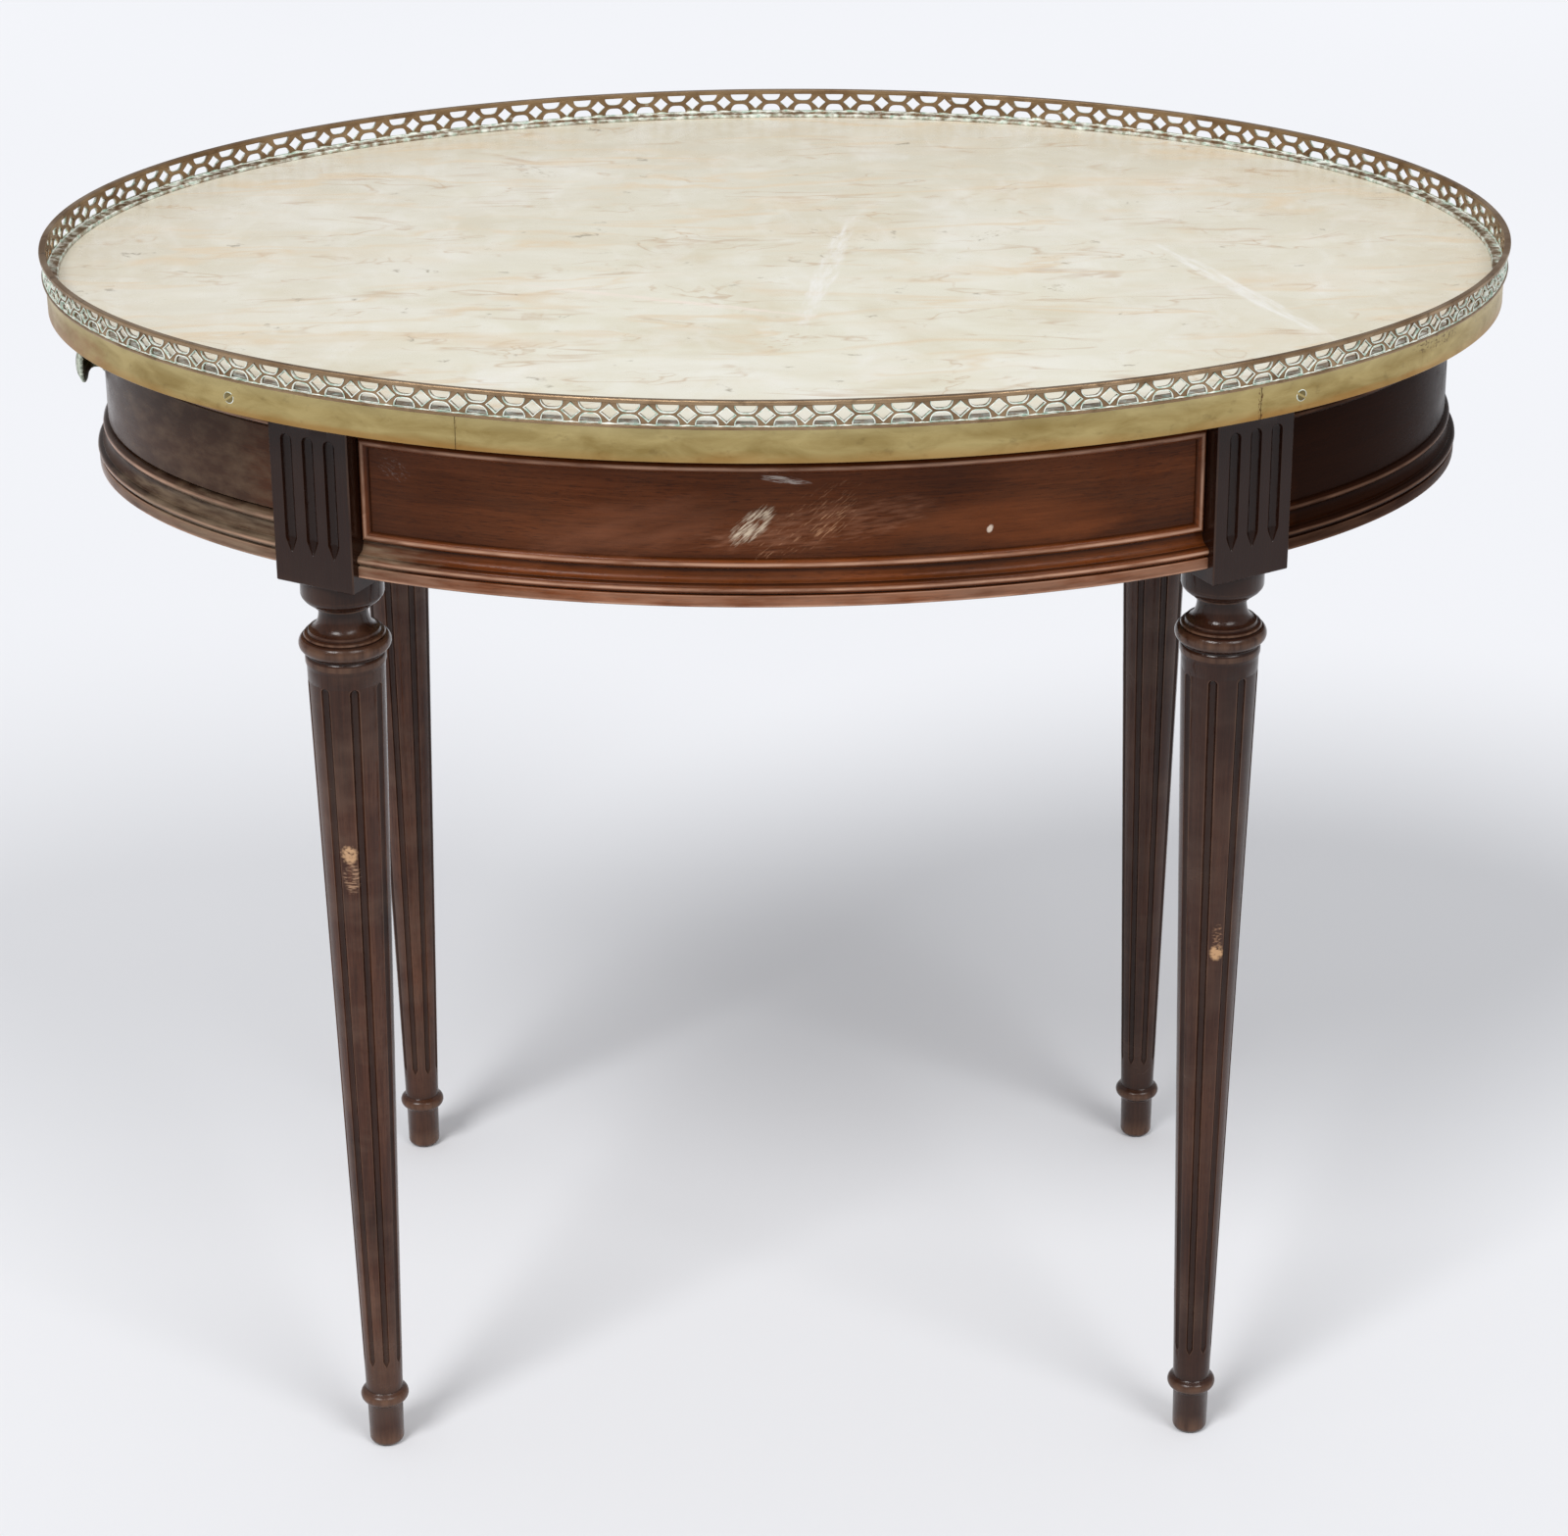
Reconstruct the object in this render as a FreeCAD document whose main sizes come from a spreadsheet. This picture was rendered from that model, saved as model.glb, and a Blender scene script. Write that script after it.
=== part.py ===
import FreeCAD, Part
import math
import operator
import os

from FreeCAD import Placement, Rotation, Vector

# Oval salon table: a marble slab inside a pierced brass gallery, a moulded frieze with a
# drawer in its left end, and four turned and fluted legs under square corner blocks.
# Origin on the floor under the middle of the oval. X runs along the length, the front
# looks towards -Y, Z is up. Lengths are millimetres, angles are degrees.

DRIVING_SIZES = {
    # whole table
    "table_length": 914.0,
    "table_width": 640.0,
    "table_height": 760.0,
    # gallery, its depths measured inwards from the rail's outer oval
    "gallery_height": 17.5,
    "gallery_strips": 16,
    "gallery_units": 7,
    "gallery_phase": 1.5,
    "rail_height": 2.6,
    "rail_proud": 2.0,
    "plate_thickness": 2.0,
    "foot_width": 7.0,
    "foot_thickness": 2.6,
    "lunette_width": 14.0,
    "lunette_waist": 1.4,
    "lozenge_width": 10.0,
    "lozenge_margin": 1.4,
    # band, bed and marble
    "band_inset": 3.5,
    "band_thickness": 1.5,
    "band_height": 20.5,
    "marble_thickness": 11.0,
    "marble_gap": 0.3,
    # frieze, its mouldings measured outwards from the panel's oval
    "frieze_end_overhang": 35.0,
    "frieze_front_overhang": 46.0,
    "frieze_thickness": 20.0,
    "frieze_height": 102.0,
    "frieze_inner_facets": 20,
    "fascia_height": 11.5,
    "fascia_proud": 5.5,
    "reed_height": 3.5,
    "reed_proud": 7.5,
    "hollow_height": 7.5,
    "bead_height": 6.6,
    "bead_proud": 3.5,
    "top_rail_height": 19.0,
    "side_bead_width": 5.0,
    # legs, their axes set in from the rail's outer oval
    "leg_end_inset": 194.0,
    "leg_front_inset": 124.0,
    "turning_sides": 16,
    "block_turn": 29.7,
    "block_side": 55.0,
    "block_drop": 9.0,
    "block_flute_radius": 3.6,
    "block_flute_pitch": 15.0,
    "block_flute_rise": 19.0,
    "block_flute_point": 6.0,
    "block_flute_tip": 0.5,
    "block_flute_top_gap": 18.0,
    "drum_radius": 25.1,
    "drum_height": 12.5,
    "drum_bevel": 6.5,
    "cove_radius": 18.2,
    "cove_height": 7.0,
    "neck_radius": 15.2,
    "neck_height": 9.5,
    "lip_radius": 21.5,
    "torus_radius": 27.8,
    "torus_height": 13.5,
    "torus_flat": 4.5,
    "groove_radius": 22.6,
    "disc_radius": 24.8,
    "disc_height": 4.0,
    "disc_bevel": 3.5,
    "shaft_top_radius": 23.6,
    "shaft_bottom_radius": 12.0,
    "collar_top": 41.4,
    "collar_height": 9.4,
    "collar_radius": 15.2,
    "foot_top_radius": 11.6,
    "foot_bottom_radius": 11.0,
    "flute_count": 8,
    "flute_top_gap": 10.0,
    "flute_bottom_gap": 20.0,
    "flute_top_radius": 2.7,
    "flute_bottom_radius": 2.0,
    # drawer
    "drawer_gap": 1.0,
    "drawer_end_gap": 1.5,
    "drawer_slide_gap": 0.3,
    "drawer_depth": 310.0,
    "drawer_side_thickness": 8.0,
    "drawer_side_height": 42.0,
    "drawer_bottom_thickness": 5.0,
    "drawer_bottom_rise": 4.0,
    "runner_width": 26.0,
    "runner_height": 22.0,
    "runner_block_gap": 2.5,
    "cross_rail_gap": 22.0,
    "cross_rail_thickness": 20.0,
    "cross_rail_height": 30.0,
    # knob
    "knob_base_radius": 6.5,
    "knob_base_length": 4.5,
    "knob_neck_radius": 3.0,
    "knob_neck_length": 6.0,
    "knob_flare": 3.0,
    "knob_head_radius": 12.8,
    "knob_head_thickness": 4.0,
    "knob_dome_radius": 7.5,
    "knob_dome": 2.0,
}

OPERATIONS = {"+": operator.add, "-": operator.sub, "*": operator.mul, "/": operator.truediv}


class Size:
    """A length that knows both its number and the sheet formula behind it."""

    def __init__(self, number, formula):
        self.number = number
        self.formula = formula

    def combine(self, sign, other):
        other = as_size(other)
        number = OPERATIONS[sign](self.number, other.number)
        return Size(number, f"({self.formula} {sign} {other.formula})")

    def __add__(self, other):
        return self.combine("+", other)

    def __sub__(self, other):
        return self.combine("-", other)

    def __mul__(self, other):
        return self.combine("*", other)

    def __truediv__(self, other):
        return self.combine("/", other)

    def __neg__(self):
        return Size(-self.number, f"(0 - {self.formula})")

    def cosine(self):
        return Size(math.cos(math.radians(self.number)), f"cos({self.formula} * 1deg)")

    def sine(self):
        return Size(math.sin(math.radians(self.number)), f"sin({self.formula} * 1deg)")


def as_size(value):
    """Take a plain number as a size without a name."""
    return value if isinstance(value, Size) else Size(float(value), repr(value))


class Dimensions:
    """The driving sizes, one sheet row each, read back from the sheet by name."""

    def __init__(self, sheet, values):
        for row, (name, value) in enumerate(values.items(), start=1):
            sheet.set(f"A{row}", name)
            sheet.set(f"B{row}", str(value))
            sheet.setAlias(f"B{row}", name)
        sheet.Document.recompute()
        for name in values:
            setattr(self, name, Size(float(sheet.get(name)), f"Sizes.{name}"))


doc = FreeCAD.newDocument("OvalTable")
sheet = doc.addObject("Spreadsheet::Sheet", "Sizes")
dim = Dimensions(sheet, DRIVING_SIZES)
sub_parts = []
zero = as_size(0)

# Counts and turns of plain geometry; an oval starts at its +X end
square_sides = as_size(4)
full_turn = as_size(360)
half_turn = full_turn / 2
quarter_turn = full_turn / 4
front_share = 3 / 4

# Heights that several pieces share
gallery_seat = dim.table_height - dim.gallery_height
bed_base = gallery_seat - dim.band_height
marble_seat = gallery_seat - dim.marble_thickness
frieze_base = bed_base - dim.frieze_height
block_base = frieze_base - dim.block_drop
fascia_top = frieze_base + dim.fascia_height
hollow_base = fascia_top + dim.reed_height
bead_base = hollow_base + dim.hollow_height
panel_base = bead_base + dim.bead_height
panel_top = bed_base - dim.top_rail_height
panel_middle = (panel_base + panel_top) / 2
drawer_base = panel_base + dim.drawer_gap
drawer_top = panel_top - dim.drawer_gap

# Half axes and insets of the ovals
rail_half_length = dim.table_length / 2
rail_half_width = dim.table_width / 2
bed_inset = dim.band_inset + dim.band_thickness
frieze_half_length = rail_half_length - dim.frieze_end_overhang
frieze_half_width = rail_half_width - dim.frieze_front_overhang

# Places of the legs and of the drawer
leg_x = rail_half_length - dim.leg_end_inset
leg_y = rail_half_width - dim.leg_front_inset
block_reach = dim.block_side / 2 * (dim.block_turn.cosine() + dim.block_turn.sine())
drawer_half_width = leg_y - block_reach - dim.runner_block_gap - dim.runner_width / 2
drawer_rear = dim.drawer_depth - frieze_half_length
cross_rail_face = drawer_rear + dim.cross_rail_gap


def bind(item, path, size):
    """Let a property follow a sheet formula."""
    item.setExpression(path, as_size(size).formula)


def keep(item, name):
    """Label a finished sub-part and list it for writing."""
    item.Label = name
    sub_parts.append(item)


def place(item, x, y, z):
    """Move an object to a named place."""
    bind(item, ".Placement.Base.x", x)
    bind(item, ".Placement.Base.y", y)
    bind(item, ".Placement.Base.z", z)


def turn_about_height(item, angle):
    """Turn an object about the vertical by a named angle."""
    item.Placement = Placement(Vector(), Rotation(Vector(0, 0, 1), angle.number))
    bind(item, ".Placement.Rotation.Angle", angle)


def one_solid(shape):
    """The single solid that a boolean should have left."""
    if len(shape.Solids) != 1:
        raise ValueError(f"expected one solid, found {len(shape.Solids)}")
    return shape.Solids[0]


def made_shape(name, shape):
    """Keep a single solid, made straight from the sheet's sizes, as a sub-part."""
    item = doc.addObject("Part::Feature", name)
    item.Shape = one_solid(shape)
    item.Placement = Placement()
    keep(item, name)


def cut(name, base, tool):
    """Take one solid out of another."""
    result = doc.addObject("Part::Cut", name)
    result.Base = base
    result.Tool = tool
    return result


def box(name, corner, length, width, height):
    """A plain rectangular board with its lowest corner at the given place."""
    board = doc.addObject("Part::Box", name)
    bind(board, "Length", length)
    bind(board, "Width", width)
    bind(board, "Height", height)
    place(board, *corner)
    return board


# Many-sided forms


def polygon(name, sides, radius, centre, angle=None):
    """A level regular polygon with its first corner turned to the named angle."""
    outline = doc.addObject("Part::RegularPolygon", name)
    bind(outline, "Polygon", sides)
    bind(outline, "Circumradius", radius)
    if angle is not None:
        turn_about_height(outline, angle)
    place(outline, *centre)
    return outline


def loft(name, sections):
    """A closed solid with straight sides from each section to the next."""
    solid = doc.addObject("Part::Loft", name)
    solid.Sections = sections
    solid.Solid = True
    solid.Ruled = True
    solid.Linearize = True
    return solid


def turning(name, profile):
    """A turned form through (radius, level) pairs, with two sides to each flute."""
    rings = []
    for index, (radius, level) in enumerate(profile):
        ring = polygon(f"{name}_ring_{index}", dim.turning_sides, radius, (zero, zero, level))
        rings.append(ring)
    return loft(name, rings)


def groove(name, angle, stations):
    """A vee groove through stations of (radius, x, y, z), its edge turned to the angle."""
    rings = []
    for index, (radius, x, y, z) in enumerate(stations):
        rings.append(polygon(f"{name}_{index}", square_sides, radius, (x, y, z), angle))
    return loft(name, rings)


# Top


def oval_slab(name, inset, base, height):
    """An upright oval slab, its edge set in from the rail's outer oval."""
    oval = doc.addObject("Part::Ellipse", f"{name}_oval")
    bind(oval, "MajorRadius", rail_half_length - inset)
    bind(oval, "MinorRadius", rail_half_width - inset)
    slab = doc.addObject("Part::Extrusion", name)
    slab.Base = oval
    slab.DirMode = "Custom"
    slab.Dir = Vector(0, 0, 1)
    slab.Solid = True
    bind(slab, "LengthFwd", height)
    place(slab, zero, zero, base)
    return slab


def make_top():
    """Wooden bed, the marble laid on it, and the brass band round both."""
    keep(oval_slab("marble_bed", bed_inset, bed_base, marble_seat - bed_base), "marble_bed")
    marble_inset = bed_inset + dim.marble_gap
    keep(oval_slab("marble_top", marble_inset, marble_seat, dim.marble_thickness), "marble_top")
    outer = oval_slab("band_outer", dim.band_inset, bed_base, dim.band_height)
    inner = oval_slab("band_inner", bed_inset, bed_base, dim.band_height)
    keep(cut("brass_band", outer, inner), "brass_band")


# Gallery


def oval_corners(half_length, half_width, count, phase):
    """Evenly spaced points of an oval, counted from the front's middle towards +X."""
    oval = Part.Ellipse(Vector(), half_length, half_width).toShape()
    pitch = oval.Length / count
    front = oval.Length * front_share
    corners = []
    for index in range(count):
        length = (front + (index - phase) * pitch) % oval.Length
        corners.append(oval.valueAt(oval.getParameterByLength(length)))
    return corners


def corner_inwards(corners, index):
    """Mitre direction at one corner, scaled to move both its sides in by one."""
    before, here, after = (corners[(index + step) % len(corners)] for step in (-1, 0, 1))
    first = (here - before).normalize()
    second = (after - here).normalize()
    first_inwards = Vector(-first.y, first.x, 0)
    bisector = (first_inwards + Vector(-second.y, second.x, 0)).normalize()
    return bisector / bisector.dot(first_inwards)


def corner_at(corners, index, depth):
    """One corner moved inwards by a depth."""
    return corners[index % len(corners)] + corner_inwards(corners, index) * depth


def bent_bar(corners, indices, outer, inner, base, top):
    """A bar bent at every corner, between two depths and two heights."""
    outside = [corner_at(corners, index, outer) for index in indices]
    inside = [corner_at(corners, index, inner) for index in reversed(indices)]
    outline = [Vector(point.x, point.y, base) for point in outside + inside]
    face = Part.Face(Part.makePolygon(outline + outline[:1]))
    return face.extrude(Vector(0, 0, top - base))


def piercing(start, along, inwards, outline, depth):
    """A cutter through the plate; the outline is (run along the plate, height) pairs."""
    points = [start + along * run + Vector(0, 0, height) - inwards * depth for run, height in outline]
    face = Part.Face(Part.makePolygon(points + points[:1]))
    return face.extrude(inwards * (depth + depth))


def lozenge_piercing(corners, index, outline, proud, depth):
    """The lozenge cut square across one bend of the plate."""
    inwards = corner_inwards(corners, index).normalize()
    along = Vector(inwards.y, -inwards.x, 0)
    return piercing(corner_at(corners, index, proud), along, inwards, outline, depth)


def lunette_piercings(corners, index, outlines, proud, depth):
    """The facing pair of lunettes in the middle of one flat unit."""
    start = corner_at(corners, index, proud)
    end = corner_at(corners, index + 1, proud)
    along = (end - start).normalize()
    inwards = Vector(-along.y, along.x, 0)
    return [piercing((start + end) / 2, along, inwards, outline, depth) for outline in outlines]


def gallery_outlines(foot_top, rail_base):
    """Outlines of the lower lunette, the upper lunette and the lozenge."""
    middle = (foot_top + rail_base) / 2
    wide = dim.lunette_width.number / 2
    waist = dim.lunette_waist.number / 2
    half = dim.lozenge_width.number / 2
    margin = dim.lozenge_margin.number
    lower = [(-wide, foot_top), (wide, foot_top), (0, middle - waist)]
    upper = [(-wide, rail_base), (wide, rail_base), (0, middle + waist)]
    lozenge = [(-half, middle), (0, foot_top + margin), (half, middle), (0, rail_base - margin)]
    return lower, upper, lozenge


def gallery_strip(name, corners, first):
    """One cast strip: rail, pierced plate and the foot that lies on the marble."""
    units = int(dim.gallery_units.number)
    indices = range(first, first + units + 1)
    seat = gallery_seat.number
    top = dim.table_height.number
    foot_top = seat + dim.foot_thickness.number
    rail_base = top - dim.rail_height.number
    proud = dim.rail_proud.number
    back = proud + dim.plate_thickness.number
    plate = bent_bar(corners, indices, proud, back, seat, top)
    rail = bent_bar(corners, indices, 0, proud, rail_base, top)
    foot = bent_bar(corners, indices, back, back + dim.foot_width.number, seat, foot_top)
    lower, upper, lozenge = gallery_outlines(foot_top, rail_base)
    cutters = [lozenge_piercing(corners, index, lozenge, proud, back) for index in indices]
    for index in indices[:-1]:
        cutters += lunette_piercings(corners, index, (lower, upper), proud, back)
    pierced = plate.cut(cutters)
    made_shape(name, pierced.fuse([rail, foot]).removeSplitter())


def make_gallery():
    """All strips of the gallery, end to end round the oval, meeting inside lozenges."""
    strips = int(dim.gallery_strips.number)
    units = int(dim.gallery_units.number)
    phase = dim.gallery_phase.number
    corners = oval_corners(rail_half_length.number, rail_half_width.number, strips * units, phase)
    for number, first in enumerate(range(0, strips * units, units), start=1):
        gallery_strip(f"gallery_strip_{number:02d}", corners, first)


# Frieze


def frieze_well():
    """The many-sided room inside the frieze, from floor height to the bed."""
    depth = dim.frieze_thickness.number
    length = frieze_half_length.number - depth
    width = frieze_half_width.number - depth
    corners = oval_corners(length, width, int(dim.frieze_inner_facets.number), 0)
    floor = Part.Face(Part.makePolygon(corners + corners[:1]))
    return floor.extrude(Vector(0, 0, bed_base.number))


def frieze_ring(levels):
    """A ring of the frieze with straight slopes from one (height, proud) level to the next."""
    wires = []
    for height, proud in levels:
        length = frieze_half_length.number + proud
        width = frieze_half_width.number + proud
        wires.append(Part.Wire(Part.Ellipse(Vector(0, 0, height), length, width).toShape()))
    return Part.makeLoft(wires, True, True).cut(frieze_well())


def beyond_block(side_x, side_y, towards_end, gap):
    """All that lies behind one side face of a corner block, that face moved out by a gap.

    towards_end picks the face that looks to the oval's end, otherwise the one that
    looks along the front or the back.
    """
    reach = dim.table_length.number
    turn = math.radians(dim.block_turn.number)
    outwards = Vector(side_x * math.sin(turn), side_y * math.cos(turn), 0)
    facing = Vector(side_x * math.cos(turn), -side_y * math.sin(turn), 0)
    if not towards_end:
        facing = -facing
    centre = Vector(side_x * leg_x.number, side_y * leg_y.number, 0)
    face = centre + facing * (dim.block_side.number / 2 + gap)
    near = [face + outwards * reach, face - outwards * reach]
    far = [point - facing * reach for point in reversed(near)]
    outline = near + far
    base = Part.Face(Part.makePolygon(outline + outline[:1]))
    return base.extrude(Vector(0, 0, reach))


def long_stretch(ring, side_y, gap=0.0):
    """The stretch of a ring between the two corner blocks of the front or back."""
    reach = dim.table_length.number
    window = Part.makeBox(reach, reach, reach, Vector(-reach / 2, min(0, side_y * reach), 0))
    blocks = [beyond_block(side_x, side_y, False, gap) for side_x in (-1, 1)]
    return ring.common(window).cut(blocks)


def end_stretch(ring, side_x, gap=0.0):
    """The stretch of a ring between the two corner blocks of one end."""
    reach = dim.table_length.number
    window = Part.makeBox(reach, reach, reach, Vector(min(0, side_x * reach), -reach / 2, 0))
    blocks = [beyond_block(side_x, side_y, True, gap) for side_y in (-1, 1)]
    return ring.common(window).cut(blocks)


def moulding_levels():
    """Fascia that swells into a reed, hollow and bead below the panel."""
    bead_middle = (bead_base + panel_base) / 2
    return [
        (frieze_base.number, dim.fascia_proud.number),
        (fascia_top.number, dim.reed_proud.number),
        (hollow_base.number, 0),
        (bead_base.number, 0),
        (bead_middle.number, dim.bead_proud.number),
        (panel_base.number, 0),
    ]


def side_beads(prefix, stretch, gap, low, high, pick):
    """The pair of upright beads that close a panel against its corner blocks."""
    proud = dim.bead_proud.number
    depth = dim.frieze_thickness.number
    ring = frieze_ring([(low, proud), (high, proud)])
    core = frieze_ring([(low, 0), (high, 0)])
    skin = ring.cut(core)
    whole = stretch(skin, gap)
    pieces = whole.cut(stretch(skin, gap + dim.side_bead_width.number)).Solids
    for label, side in pick.items():
        piece = next(solid for solid in pieces if side(solid.CenterOfMass))
        made_shape(f"{prefix}_{label}", piece)


def make_frieze():
    """Aprons, the rails over and under the drawer, and the upright beads."""
    lower = moulding_levels()
    apron = frieze_ring(lower + [(bed_base.number, 0)])
    made_shape("apron_front", long_stretch(apron, -1))
    made_shape("apron_back", long_stretch(apron, 1))
    made_shape("apron_right", end_stretch(apron, 1))
    made_shape("drawer_rail_lower", end_stretch(frieze_ring(lower), -1))
    upper = [(panel_top.number, 0), (bed_base.number, 0)]
    made_shape("drawer_rail_upper", end_stretch(frieze_ring(upper), -1))
    low = panel_base.number
    high = bed_base.number
    left_right = {"left": lambda point: point.x < 0, "right": lambda point: point.x > 0}
    front_back = {"front": lambda point: point.y < 0, "back": lambda point: point.y > 0}
    side_beads("side_bead_front", lambda ring, gap: long_stretch(ring, -1, gap), 0, low, high, left_right)
    side_beads("side_bead_back", lambda ring, gap: long_stretch(ring, 1, gap), 0, low, high, left_right)
    side_beads("side_bead_right", lambda ring, gap: end_stretch(ring, 1, gap), 0, low, high, front_back)


# Legs


def leg_profile():
    """(radius, level) pairs of the turned leg by name, from the floor up to the block."""
    collar_base = dim.collar_top - dim.collar_height
    drum_base = block_base - dim.drum_height
    cove = drum_base - dim.drum_bevel
    neck = cove - dim.cove_height
    lip = neck - dim.neck_height
    torus_middle = lip - dim.torus_height / 2
    groove_level = lip - dim.torus_height
    disc = groove_level - dim.disc_height
    return {
        "sole": (dim.foot_bottom_radius, zero),
        "foot_top": (dim.foot_top_radius, collar_base),
        "collar": (dim.collar_radius, collar_base + dim.collar_height / 2),
        "shaft_bottom": (dim.shaft_bottom_radius, dim.collar_top),
        "shaft_top": (dim.shaft_top_radius, disc - dim.disc_bevel),
        "disc": (dim.disc_radius, disc),
        "groove": (dim.groove_radius, groove_level),
        "torus_low": (dim.torus_radius, torus_middle - dim.torus_flat / 2),
        "torus_high": (dim.torus_radius, torus_middle + dim.torus_flat / 2),
        "lip": (dim.lip_radius, lip),
        "neck": (dim.neck_radius, neck),
        "cove": (dim.cove_radius, cove),
        "drum_base": (dim.drum_radius, drum_base),
        "drum_top": (dim.drum_radius, block_base),
    }


def shaft_flutes(profile):
    """Tapered vee flutes round the shaft, stopped short of its ends."""
    bottom_radius, bottom = profile["shaft_bottom"]
    top_radius, top = profile["shaft_top"]
    taper = (top_radius - bottom_radius) / (top - bottom)
    low = bottom + dim.flute_bottom_gap
    high = top - dim.flute_top_gap
    flutes = []
    for index in range(int(dim.flute_count.number)):
        angle = full_turn / dim.flute_count * index
        stations = []
        for level, radius in ((low, dim.flute_bottom_radius), (high, dim.flute_top_radius)):
            reach = bottom_radius + taper * (level - bottom)
            stations.append((radius, reach * angle.cosine(), reach * angle.sine(), level))
        flutes.append(groove(f"shaft_flute_{index}", angle, stations))
    return flutes


def block_flutes():
    """Three stopped flutes, pointed at the foot, on the block's outer face."""
    low = block_base + dim.block_flute_rise
    shoulder = low + dim.block_flute_point
    high = bed_base - dim.block_flute_top_gap
    outer_face = -dim.block_side / 2
    flutes = []
    for index, step in enumerate((-1, 0, 1)):
        x = dim.block_flute_pitch * step
        stations = [
            (dim.block_flute_tip, x, outer_face, low),
            (dim.block_flute_radius, x, outer_face, shoulder),
            (dim.block_flute_radius, x, outer_face, high),
        ]
        flutes.append(groove(f"block_flute_{index}", quarter_turn, stations))
    return flutes


def make_legs():
    """Four legs from one pattern, each turned so that its block follows the oval."""
    profile = leg_profile()
    half = dim.block_side / 2
    block = box(
        "leg_block", (-half, -half, block_base), dim.block_side, dim.block_side, bed_base - block_base
    )
    blank = doc.addObject("Part::MultiFuse", "leg_blank")
    blank.Shapes = [turning("leg_turning", profile.values()), block]
    cutters = doc.addObject("Part::MultiFuse", "leg_cutters")
    cutters.Shapes = shaft_flutes(profile) + block_flutes()
    for name, side_x, side_y, angle in (
        ("leg_front_left", -1, -1, -dim.block_turn),
        ("leg_front_right", 1, -1, dim.block_turn),
        ("leg_back_left", -1, 1, half_turn + dim.block_turn),
        ("leg_back_right", 1, 1, half_turn - dim.block_turn),
    ):
        leg = cut(name, blank, cutters)
        turn_about_height(leg, angle)
        place(leg, leg_x * side_x, leg_y * side_y, zero)
        keep(leg, name)


# Drawer


def fitted_board(name, corner, length, width, height):
    """A board trimmed where it meets the frieze's many-sided inner face."""
    sizes = [size.number for size in (length, width, height)]
    blank = Part.makeBox(*sizes, Vector(*(size.number for size in corner)))
    made_shape(name, blank.common(frieze_well()))


def make_drawer():
    """Curved front with its upright beads, and the box behind it."""
    low = drawer_base.number
    high = drawer_top.number
    gap = dim.drawer_end_gap.number
    made_shape("drawer_front", end_stretch(frieze_ring([(low, 0), (high, 0)]), -1, gap))
    front_back = {"front": lambda point: point.y < 0, "back": lambda point: point.y > 0}
    side_beads("drawer_bead", lambda ring, extra: end_stretch(ring, -1, extra), gap, low, high, front_back)
    side = dim.drawer_side_thickness
    height = dim.drawer_side_height
    left = -frieze_half_length
    inner_width = (drawer_half_width - side) * 2
    bottom_base = drawer_base + dim.drawer_bottom_rise
    fitted_board(
        "drawer_side_front", (left, -drawer_half_width, drawer_base), dim.drawer_depth, side, height
    )
    fitted_board(
        "drawer_side_back", (left, drawer_half_width - side, drawer_base), dim.drawer_depth, side, height
    )
    fitted_board(
        "drawer_bottom",
        (left, side - drawer_half_width, bottom_base),
        dim.drawer_depth - side,
        inner_width,
        dim.drawer_bottom_thickness,
    )
    rear = box(
        "drawer_back", (drawer_rear - side, side - drawer_half_width, drawer_base), side, inner_width, height
    )
    keep(rear, "drawer_back")


def make_knob():
    """Turned brass knob with a flared neck and a domed head, pointing to -X."""
    neck = dim.knob_base_length + dim.knob_neck_length
    head = neck + dim.knob_flare
    rim = head + dim.knob_head_thickness
    knob = turning(
        "drawer_knob",
        [
            (dim.knob_base_radius, zero),
            (dim.knob_neck_radius, dim.knob_base_length),
            (dim.knob_neck_radius, neck),
            (dim.knob_head_radius, head),
            (dim.knob_head_radius, rim),
            (dim.knob_dome_radius, rim + dim.knob_dome),
        ],
    )
    knob.Placement = Placement(Vector(), Rotation(Vector(0, 1, 0), -quarter_turn.number))
    place(knob, -frieze_half_length, zero, panel_middle)
    keep(knob, "drawer_knob")


def make_inner_rails():
    """Drawer runners and the cross rail that carries their inner ends."""
    left = -frieze_half_length
    runner_top = drawer_base - dim.drawer_slide_gap
    runner_base = runner_top - dim.runner_height
    length = cross_rail_face - left
    for label, middle in (("front", -drawer_half_width), ("back", drawer_half_width)):
        corner = (left, middle - dim.runner_width / 2, runner_base)
        fitted_board(f"drawer_runner_{label}", corner, length, dim.runner_width, dim.runner_height)
    corner = (cross_rail_face, -rail_half_width, runner_top - dim.cross_rail_height)
    fitted_board(
        "cross_rail", corner, dim.cross_rail_thickness, dim.table_width, dim.cross_rail_height
    )


make_top()
make_gallery()
make_frieze()
make_legs()
make_drawer()
make_knob()
make_inner_rails()
doc.recompute()

for item in doc.Objects:
    if "Invalid" in item.State or "Error" in item.State:
        raise RuntimeError(f"{item.Name} did not compute: {item.State}")
for item in sub_parts:
    if item.Shape.isNull() or not item.Shape.isValid():
        raise RuntimeError(f"{item.Label} has no valid shape")

os.makedirs("parts", exist_ok=True)
for item in sub_parts:
    item.Shape.exportStep(os.path.join("parts", f"{item.Label}.step"))
    print(item.Label, len(item.Shape.Solids), round(item.Shape.Volume), "mm3")
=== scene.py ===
import logging
import math
from dataclasses import dataclass, field, replace
from enum import Enum
from functools import partial
from typing import Callable, Iterable, Sequence

import bmesh
import bpy
from mathutils import Matrix, Vector
from mathutils.geometry import tessellate_polygon


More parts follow.
